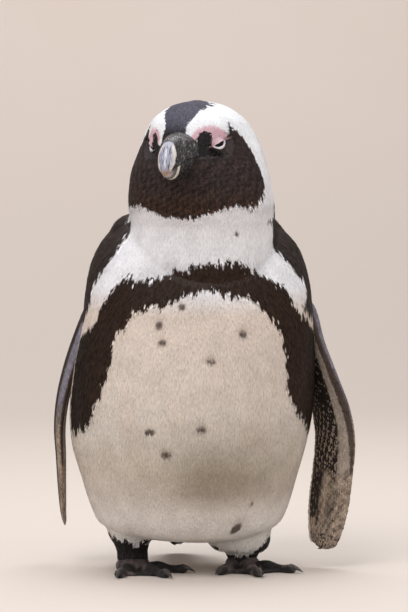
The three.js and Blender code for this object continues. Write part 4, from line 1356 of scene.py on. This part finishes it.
def bill_form(half_name):
    """A half of the bill: rings between a flat and a domed line, with the relief of the horn."""
    table = BILL[half_name]
    upper = half_name == "upper"

    def form(along, angle):
        along = column(along)
        row = station(table, along)
        up, aside = np.cos(angle), np.abs(np.sin(angle))
        share = np.where(up > 0, up**1.05, 0.12 * up * (up + 0.2) if upper else 0 * up)[:, None]
        middle = row[:, 2:4] * (1 - share) + row[:, 0:2] * share
        lip = smoothstep(-np.abs(up - 0.04), -0.16, 0) * smoothstep(along, 0.1, 0.3)
        plates = np.sin(along * 58 + 2.6 * up + 1.1 * np.sin(5 * up + 9 * along))
        behind = smoothstep(along, 0.10, 0.2) * falling(along, 0.50, 0.60)
        seam = np.exp(-((along - 0.60 + 0.10 * up) / 0.012) ** 2)
        groove = np.exp(-((up - 0.50) / 0.05) ** 2)
        groove = groove * smoothstep(along, 0.2, 0.35) * falling(along, 0.7, 0.9)
        relief = 0.20 * behind * plates - 0.35 * seam - 0.30 * groove
        relief = relief + (0.35 if upper else -0.25) * lip - 0.45
        if upper:
            relief = relief - 1.2 * np.exp(-(((along - 0.44) / 0.035) ** 2 + ((up - 0.42) / 0.07) ** 2))
        swell = 1 + relief / np.maximum(row[:, 4], 3)
        left = np.sign(np.sin(angle)) * aside**0.92 * row[:, 4]
        centre = (row[:, 2:4] + row[:, 0:2]) / 2
        middle = centre + (middle - centre) * np.where(up > 0.2, swell, 1)[:, None]
        return in_head(middle[:, 0], left * swell, middle[:, 1])
    return form


def bill(half_name):
    """A half of the bill, with the places that its bands of colour are read at."""
    ob = loft(f"bill_{half_name}_horn", bill_form(half_name), 96, 110)
    forward, left, height = head_place(places(ob))
    give(ob, "forward", forward * MM)
    give(ob, "band", (forward + (0.42 if half_name == "upper" else 0) * (height - 360)) * MM)
    give(ob, "aside", np.abs(left) * MM)
    give(ob, "height", height * MM)
    use(ob, f"horn_{half_name}")
    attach(ob, "root")
    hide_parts(f"bill_{half_name}")


for half_name in BILL:
    bill(half_name)

# %% [markdown]
# ## Eyes
#
# An eyeball is a ball with a second, smaller bulge where it looks out. Only a little of it shows
# between the lids, but the bulge is what catches the light.

# %% Eyes
for side, name in ((1, "left"), (-1, "right")):
    centre, out, back, up = eye_frame(side)
    eyeball = ball(f"eyeball_{name}", 64, 48)
    co = coords(eyeball)
    radius = (EYE["radius"] - EYEBALL_INSET) * (1 + 0.035 * np.exp(-((1 - co[:, 2]) / 0.10) ** 2))
    ray = co[:, :1] * back + co[:, 1:2] * up + co[:, 2:] * out
    move_to(eyeball, centre + radius[:, None] * ray)
    give(eyeball, "ring", np.degrees(np.arccos(np.clip(co[:, 2], -1, 1))) / 90)
    tidy(eyeball)
    use(eyeball, "eye_wet")
    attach(eyeball, "root")
    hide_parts(f"eye_{name}")

# %% [markdown]
# ## Claws
#
# Eight claws are the same curved cone with a flattened underside. It is modelled once, and each toe
# gets a copy with its own mesh, sized and turned to it.

# %% Claws
def claw_points(co, ankle, ahead, length, size):
    """Places of the pattern claw's vertices on one toe."""
    across = np.array([-ahead[1], ahead[0], 0.0])
    share, angle = ball_place(co)
    half = CLAW_HALF * size * np.clip(1 - share, 0, 1) ** 0.7 - 0.1
    half = np.maximum(half * np.sqrt(np.clip(share / 0.08, 0, 1)), 0)
    height = 5.6 * size - 4.2 * size * share**2 + np.cos(angle) * half * 0.95
    reach = length - 4 * size + share * CLAW_LENGTH * size
    points = np.array([*ankle, 0.0]) + ahead * reach[:, None] + across * (np.sin(angle) * half)[:, None]
    points[:, 2] = np.maximum(height, 0.7)
    return points, share


pattern = ball("pattern", 28, 30)
pattern_co = coords(pattern)
for side, name in ((1, "left"), (-1, "right")):
    for toe, ahead, length, size in toes_of(side):
        claw = bpy.data.objects.new(f"claw_{name}_{toe}_horn", pattern.data.copy())
        bpy.context.scene.collection.objects.link(claw)
        points, share = claw_points(pattern_co, FEET[side]["ankle"], ahead, length, size)
        move_to(claw, points)
        give(claw, "share", share)
        tidy(claw)
        use(claw, "claw_horn")
        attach(claw, "root")
        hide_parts(f"claw_{name}_{toe}")
bpy.data.objects.remove(pattern, do_unlink=True)

# %% [markdown]
# ## Materials
#
# Every surface is drawn by nodes, so that it stays sharp close up. Noise and other patterns read
# the object's own coordinates, and colours and places that were stored on the vertices come in
# through attributes. A few helpers keep each material short enough to read from top to bottom.

# %% Node helpers
def shader(name, **sockets):
    """A material's nodes and its Principled shader; plain values are set on its sockets."""
    tree = material(name).node_tree
    principled = tree.nodes["Principled BSDF"]
    for socket, value in sockets.items():
        principled.inputs[socket.replace("_", " ")].default_value = value
    return tree, principled


def node(tree, kind, inputs=(), **settings):
    """Adds a node; an input is given a value or, where it is a socket, a link."""
    made = tree.nodes.new(kind)
    for key, value in settings.items():
        setattr(made, key, value)
    for key, value in dict(inputs).items():
        if isinstance(value, bpy.types.NodeSocket):
            tree.links.new(value, made.inputs[key])
        else:
            made.inputs[key].default_value = value
    return made


def attribute(tree, name, output):
    """A number or colour that was stored on the vertices."""
    return node(tree, "ShaderNodeAttribute", attribute_name=name).outputs[output]


def noise(tree, scale, detail=3.0, rough=0.55, stretch=None, turned=None):
    """Noise in object space; turned gives long grains of the length stretch along a turned axis."""
    place = node(tree, "ShaderNodeTexCoord").outputs["Object"]
    if turned:
        place = node(tree, "ShaderNodeMapping", {"Vector": place, "Rotation": turned, "Scale": stretch},
                     vector_type="TEXTURE").outputs[0]
    elif stretch:
        place = node(tree, "ShaderNodeMapping", {"Vector": place, "Scale": stretch}).outputs[0]
    return node(tree, "ShaderNodeTexNoise", {"Vector": place, "Scale": scale, "Detail": detail,
                                              "Roughness": rough}).outputs["Fac"]


def ramp(tree, value, *stops):
    """Colours at rising places between 0 and 1."""
    made = node(tree, "ShaderNodeValToRGB", {"Fac": value})
    elements = made.color_ramp.elements
    while len(elements) < len(stops):
        elements.new(0.5)
    for element, (place, colour) in zip(elements, stops):
        element.position = place
        element.color = (*colour, 1)
    return made.outputs["Color"]


def mixed(tree, factor, a, b, blend="MIX"):
    made = node(tree, "ShaderNodeMix", data_type="RGBA", blend_type=blend)
    for socket, value in zip((made.inputs[0], made.inputs[6], made.inputs[7]), (factor, a, b)):
        if isinstance(value, bpy.types.NodeSocket):
            tree.links.new(value, socket)
        else:
            socket.default_value = value if isinstance(value, (int, float)) else (*value, 1)
    return made.outputs[2]


def maths(tree, kind, a, b):
    return node(tree, "ShaderNodeMath", {0: a, 1: b}, operation=kind).outputs[0]


def product(tree, first, *others):
    for other in others:
        first = maths(tree, "MULTIPLY", first, other)
    return first


def shaded(tree, colour, value):
    """A colour darkened by a value of 0 to 1."""
    grey = node(tree, "ShaderNodeCombineColor", {"Red": value, "Green": value, "Blue": value})
    return mixed(tree, 1.0, colour, grey.outputs[0], "MULTIPLY")


def between(tree, value, low, high, to_low=0.0, to_high=1.0):
    """A value taken smoothly from one range to another."""
    return node(tree, "ShaderNodeMapRange", {"Value": value, "From Min": low, "From Max": high,
                                              "To Min": to_low, "To Max": to_high},
                interpolation_type="SMOOTHSTEP").outputs[0]


def bump(tree, principled, height, distance, strength):
    made = node(tree, "ShaderNodeBump", {"Height": height, "Distance": distance, "Strength": strength})
    tree.links.new(made.outputs[0], principled.inputs["Normal"])


def feather_tone():
    """A group shared by coat and skin: the marking colour made uneven by two sizes of noise."""
    group = bpy.data.node_groups.new("feather_tone", "ShaderNodeTree")
    group.interface.new_socket("Tint", in_out="INPUT", socket_type="NodeSocketColor")
    group.interface.new_socket("Uneven", in_out="INPUT", socket_type="NodeSocketFloat")
    group.interface.new_socket("Colour", in_out="OUTPUT", socket_type="NodeSocketColor")
    into = group.nodes.new("NodeGroupInput")
    out = group.nodes.new("NodeGroupOutput")
    broad = between(group, noise(group, 55.0), 0.3, 0.7, 0.93, 1.05)
    fine = between(group, noise(group, 900.0, 2.0, 0.6, (1, 1, 0.25)), 0.25, 0.75, 0.86, 1.10)
    change = maths(group, "SUBTRACT", product(group, broad, fine), 1.0)
    value = maths(group, "ADD", product(group, change, into.outputs["Uneven"]), 1.0)
    group.links.new(shaded(group, into.outputs["Tint"], value), out.inputs["Colour"])
    return group


FEATHER = feather_tone()


def toned(tree, tint, uneven):
    made = node(tree, "ShaderNodeGroup", node_tree=FEATHER)
    tree.links.new(tint, made.inputs["Tint"])
    made.inputs["Uneven"].default_value = uneven
    return made.outputs["Colour"]


# %% [markdown]
# ## Plumage
#
# Feathers are matt with a faint gloss, darker at the root as painted shade, and a little different from
# each other.
# The colour is the stored marking, made uneven by two sizes of noise in a group that coat and skin
# share. The skin below is rougher and has a downy grain.

# %% Plumage
tree, plumage = shader("plumage", Specular_IOR_Level=0.11)
tone = toned(tree, attribute(tree, "tint", "Color"), 1.0)
# painted shade at each vane's root
root_shade = between(tree, attribute(tree, "along", "Fac"), 0.0, 0.55, 0.88, 1.0)
tree.links.new(shaded(tree, tone, root_shade), plumage.inputs["Base Color"])
gloss = between(tree, attribute(tree, "chance", "Fac"), 0.0, 1.0, 0.52, 0.72)
tree.links.new(gloss, plumage.inputs["Roughness"])
bump(tree, plumage, noise(tree, 2200.0, 2.0, 0.6), 0.0002, 0.35)

tree, under_shader = shader("plumage_under", Roughness=0.8)
tree.links.new(toned(tree, attribute(tree, "tint", "Color"), 1.0), under_shader.inputs["Base Color"])
bump(tree, under_shader, noise(tree, 1400.0, 3.0, 0.6, (1, 1, 0.3)), 0.0004, 0.6)

# %% [markdown]
# ## Bare skin and scales
#
# The patch over the eye is thin skin with blood under it, so some light goes into it and comes out
# red. The feet are scaled: cells of a Voronoi pattern make the scales, and the creases between
# them are lower and darkened with painted shade.

# %% Bare skin of the face and the scaled skin of the feet
tree, bare_shader = shader("bare_face", Roughness=0.48, Subsurface_Weight=0.18, Subsurface_Scale=0.003,
                            Coat_Weight=0.12, Coat_Roughness=0.3)
bare_shader.inputs["Subsurface Radius"].default_value = (1.0, 0.35, 0.25)
flush = mixed(tree, between(tree, noise(tree, 420.0, 4.0), 0.40, 0.66, 0.0, 0.22),
              attribute(tree, "tint", "Color"), (0.80, 0.50, 0.55), "MULTIPLY")
tree.links.new(flush, bare_shader.inputs["Base Color"])
bump(tree, bare_shader, noise(tree, 1500.0, 4.0, 0.65), 0.0004, 0.7)

tree, foot_shader = shader("foot_scales", Roughness=0.5, Specular_IOR_Level=0.4)
place = node(tree, "ShaderNodeTexCoord").outputs["Object"]
to_edge = node(tree, "ShaderNodeTexVoronoi", {"Vector": place, "Scale": 620.0},
               feature="DISTANCE_TO_EDGE").outputs["Distance"]
dusty = between(tree, noise(tree, 75.0, 4.0), 0.50, 0.60)
skin_tone = mixed(tree, dusty, (0.022, 0.020, 0.020), (0.16, 0.125, 0.115))
# painted shade in the creases between the scales
crease_shade = between(tree, to_edge, 0.0, 0.10, 0.45, 1.0)
tree.links.new(shaded(tree, skin_tone, crease_shade), foot_shader.inputs["Base Color"])
tree.links.new(between(tree, noise(tree, 300.0), 0.3, 0.7, 0.38, 0.62), foot_shader.inputs["Roughness"])
bump(tree, foot_shader, between(tree, to_edge, 0.0, 0.14), 0.0005, 0.9)

# %% [markdown]
# ## Horn
#
# Horn is glossy, layered and worn. The bands are a ramp over how far forward a point lies, shifted
# by noise so that no border is straight. Long noise grains, turned to run with the bill, make the
# dark streaks and painted highlights of the nail and the strokes behind it.

# %% Horn of the bill
HORN_BLACK, HORN_BLUE, HORN_PALE = (0.013, 0.012, 0.014), (0.36, 0.37, 0.46), (0.74, 0.70, 0.68)
HORN_CREAM, HORN_TIP = (0.78, 0.74, 0.64), (0.33, 0.21, 0.165)
STROKE = (math.radians(-48), 0, HEAD_TURN)  # worn strokes rise towards the cheek
LENGTHWISE = (0, 0, HEAD_TURN)


def uneven_place(tree, name, by):
    """A stored place, shifted by noise so that a border read from it wanders."""
    return maths(tree, "ADD", attribute(tree, name, "Fac"), product(tree, noise(tree, 260.0), by))


# %% Upper half: black behind, a pale band, and a blue nail with dark streaks, painted highlights and a brown tip
tree, horn = shader("horn_upper", Specular_IOR_Level=0.32, Coat_Weight=0.15, Coat_Roughness=0.15)
ahead = uneven_place(tree, "band", 0.0030)
share = between(tree, ahead, 0.088, 0.118)
bands = ramp(tree, share, (0.0, HORN_BLACK), (0.30, HORN_BLACK), (0.36, HORN_PALE),
             (0.46, HORN_PALE), (0.53, HORN_BLUE), (1.0, HORN_BLUE))
no_band = ramp(tree, share, (0.0, HORN_BLACK), (0.30, HORN_BLACK), (0.40, HORN_BLUE), (1.0, HORN_BLUE))
ridge = between(tree, attribute(tree, "aside", "Fac"), 0.0050, 0.0022)
colour = mixed(tree, ridge, bands, no_band)
nail = between(tree, ahead, 0.1000, 0.1035)
streaks = between(tree, noise(tree, 800.0, 3.0, 0.6, (1, 8, 8), LENGTHWISE), 0.50, 0.62)
colour = mixed(tree, product(tree, nail, 0.85, streaks), colour, (0.035, 0.036, 0.055))
# painted highlight: pale glossy streaks on the nail
nail_highlight = between(tree, noise(tree, 520.0, 2.0, 0.5, (1, 7, 7), LENGTHWISE), 0.54, 0.66)
colour = mixed(tree, product(tree, nail, 0.8, nail_highlight), colour, (0.80, 0.80, 0.85))
tip = between(tree, attribute(tree, "height", "Fac"), 0.3505, 0.3465)
colour = mixed(tree, tip, colour, HORN_TIP)
fine = between(tree, noise(tree, 1150.0, 3.0, 0.7, (1, 1, 6), STROKE), 0.53, 0.60)
broad = between(tree, noise(tree, 210.0, 3.0, 0.6), 0.42, 0.64, 0.2, 1.0)
dust = product(tree, broad, between(tree, ahead, 0.0985, 0.0955, 0.0, 0.55))
wear = product(tree, fine, broad, between(tree, ahead, 0.0985, 0.0955))
colour = mixed(tree, wear, mixed(tree, dust, colour, (0.034, 0.031, 0.033)), (0.46, 0.43, 0.45))
tree.links.new(colour, horn.inputs["Base Color"])
tree.links.new(between(tree, noise(tree, 380.0, 4.0), 0.3, 0.7, 0.24, 0.48), horn.inputs["Roughness"])
bump(tree, horn, noise(tree, 1000.0, 4.0, 0.65, (1, 1, 5), STROKE), 0.0006, 0.7)

# %% Lower half: black behind, a cream band, and a grey tip that pales at its edge
tree, horn = shader("horn_lower", Roughness=0.26, Coat_Weight=0.45, Coat_Roughness=0.15)
ahead = uneven_place(tree, "forward", 0.002)
bands = ramp(tree, between(tree, ahead, 0.080, 0.104), (0.0, HORN_BLACK), (0.33, HORN_BLACK),
             (0.39, HORN_CREAM), (0.56, HORN_CREAM), (0.63, (0.07, 0.065, 0.07)),
             (0.78, (0.12, 0.11, 0.12)), (0.88, (0.46, 0.38, 0.35)))
grain = between(tree, noise(tree, 900.0, 4.0, 0.7, (1, 1, 5), STROKE), 0.54, 0.62, 0.0, 0.7)
grain = product(tree, grain, between(tree, ahead, 0.090, 0.084))
tree.links.new(mixed(tree, grain, bands, (0.22, 0.21, 0.21)), horn.inputs["Base Color"])
tree.links.new(between(tree, noise(tree, 380.0, 4.0), 0.3, 0.7, 0.18, 0.42), horn.inputs["Roughness"])
bump(tree, horn, noise(tree, 900.0, 4.0, 0.65, (1, 1, 5), STROKE), 0.0006, 0.6)

# %% [markdown]
# ## Claws and eyes
#
# The claws are dark horn, scuffed at root and tip. The eye is drawn in rings round the way it looks
# out, under a wet and glossy surface.

# %% Horn of the claws
tree, claw_shader = shader("claw_horn", Roughness=0.34, Coat_Weight=0.2)
worn = ramp(tree, attribute(tree, "share", "Fac"), (0.0, (0.10, 0.085, 0.075)),
            (0.35, (0.030, 0.027, 0.026)), (0.85, (0.028, 0.026, 0.026)), (1.0, (0.09, 0.08, 0.075)))
scuffs = between(tree, noise(tree, 600.0, 4.0), 0.4, 0.7, 0.0, 0.5)
tree.links.new(mixed(tree, scuffs, worn, (0.11, 0.10, 0.09)), claw_shader.inputs["Base Color"])
bump(tree, claw_shader, noise(tree, 1100.0, 3.0), 0.0003, 0.5)

# %% Eyes: black pupil, brown iris, a dark rim and the pink-grey white of the eye
PUPIL, IRIS_IN, IRIS_OUT = (0.004, 0.003, 0.003), (0.060, 0.028, 0.016), (0.085, 0.042, 0.022)
tree, eye_shader = shader("eye_wet", Roughness=0.13, Specular_IOR_Level=0.16,
                          Coat_Weight=0.10, Coat_Roughness=0.05)
iris = ramp(tree, attribute(tree, "ring", "Fac"), (0.0, PUPIL), (0.30, PUPIL), (0.34, IRIS_IN),
            (0.58, IRIS_OUT), (0.64, (0.012, 0.007, 0.006)), (0.80, (0.25, 0.15, 0.14)))
fibres = between(tree, noise(tree, 1400.0, 4.0), 0.35, 0.65, 0.0, 0.5)
tree.links.new(mixed(tree, fibres, iris, (0.02, 0.01, 0.008), "MULTIPLY"), eye_shader.inputs["Base Color"])

# %% [markdown]
# ## Stage
#
# The bird stands on a pale sheet of paper that bends up behind it, as in a studio, so that no
# horizon shows. It starts as a grid that is bent along its length. Seen from behind the sheet lets
# the camera look through, because the bird's back should be seen too.

# %% Floor and backdrop
FLOOR_FRONT, FLOOR_BACK, BEND, WALL, HALF = -2.6, 1.6, 0.9, 3.2, 3.6
FLOOR_SHADE_TONE, WALL_TONES = (0.68, 0.61, 0.56), ((0.84, 0.735, 0.67), (0.86, 0.76, 0.70))
bpy.ops.mesh.primitive_grid_add(x_subdivisions=4, y_subdivisions=60, size=2)
sweep = bpy.context.object
sweep.name = sweep.data.name = "sweep"
co = coords(sweep)
flat = FLOOR_BACK - FLOOR_FRONT
arc = BEND * math.pi / 2
run = (co[:, 1] + 1) / 2 * (flat + arc + WALL)
turn = np.clip((run - flat) / BEND, 0, math.pi / 2)
y = FLOOR_FRONT + np.minimum(run, flat) + BEND * np.sin(turn)
z = BEND * (1 - np.cos(turn)) + np.maximum(run - flat - arc, 0)
sweep.data.vertices.foreach_set("co", np.stack([co[:, 0] * HALF, y, z], -1).ravel())
sweep.data.update()
tidy(sweep)
sweep.data.flip_normals()
use(sweep, "paper")

# %% Paper of the backdrop, which can be seen through from behind
tree, paper = shader("paper", Roughness=0.9)
place = node(tree, "ShaderNodeTexCoord").outputs["Object"]
rise = node(tree, "ShaderNodeSeparateXYZ", {"Vector": place}).outputs["Z"]
soft = mixed(tree, between(tree, noise(tree, 2.5, 3.0), 0.3, 0.7), *WALL_TONES)
# painted shade: the floor part of the paper is darker than the wall, blending up the bend
tone = mixed(tree, between(tree, rise, 0.0, 0.7), FLOOR_SHADE_TONE, soft)
tree.links.new(tone, paper.inputs["Base Color"])
bump(tree, paper, noise(tree, 400.0), 0.0002, 0.2)
behind = node(tree, "ShaderNodeNewGeometry").outputs["Backfacing"]
clear = node(tree, "ShaderNodeBsdfTransparent").outputs[0]
one_sided = node(tree, "ShaderNodeMixShader", {0: behind, 1: paper.outputs[0], 2: clear})
tree.links.new(one_sided.outputs[0], tree.nodes["Material Output"].inputs["Surface"])

# %% [markdown]
# ## Lights and camera
#
# One large soft light stands high in front, a weaker one fills the other side, and a cool one from
# above and behind gives the crown its gloss. The camera stands three metres off with a long lens,
# so that the bird isn't drawn wider near the camera.

# %% Lights
def area(name, place, aim, size, watts, colour):
    """A square soft light that looks at a point."""
    bpy.ops.object.light_add(type="AREA", location=place)
    light = bpy.context.object
    light.name = name
    light.rotation_euler = (Vector(aim) - Vector(place)).to_track_quat("-Z", "Y").to_euler()
    light.data.size = size
    light.data.energy = watts
    light.data.color = colour


AIM = (0, 0, 0.25)
area("key", (-0.9, -1.3, 2.1), AIM, 1.4, 29, (1.0, 0.99, 0.985))
area("fill", (1.5, -1.7, 1.3), AIM, 1.6, 8, (1.0, 0.98, 0.96))
area("sky", (0.1, 0.5, 2.1), AIM, 1.8, 32, (0.95, 0.98, 1.0))
world = bpy.data.worlds.new("studio")
bpy.context.scene.world = world
world.use_nodes = True
background = world.node_tree.nodes["Background"]
background.inputs["Color"].default_value = (1.0, 0.965, 0.945, 1)
background.inputs["Strength"].default_value = 0.45

# %% Camera
FRAME_HEIGHT_PX, SCALE = 612, 0.87  # picture rows, and millimetres per row at the bird
DISTANCE, AZIMUTH, ELEVATION = 3.0, math.radians(-7), math.radians(3)
AIM_HEIGHT = 0.2297
SENSOR = 36
level = math.cos(ELEVATION)
toward = Vector((math.sin(AZIMUTH) * level, -math.cos(AZIMUTH) * level, math.sin(ELEVATION)))
bpy.ops.object.camera_add(location=Vector((0, 0, AIM_HEIGHT)) + toward * DISTANCE)
camera = bpy.context.object
camera.rotation_euler = (-toward).to_track_quat("-Z", "Y").to_euler()
camera.data.sensor_width = SENSOR
camera.data.lens = SENSOR * DISTANCE / (FRAME_HEIGHT_PX * SCALE * MM)
camera.data.clip_end = 20
bpy.context.scene.camera = camera
bpy.context.scene.view_settings.view_transform = "Standard"
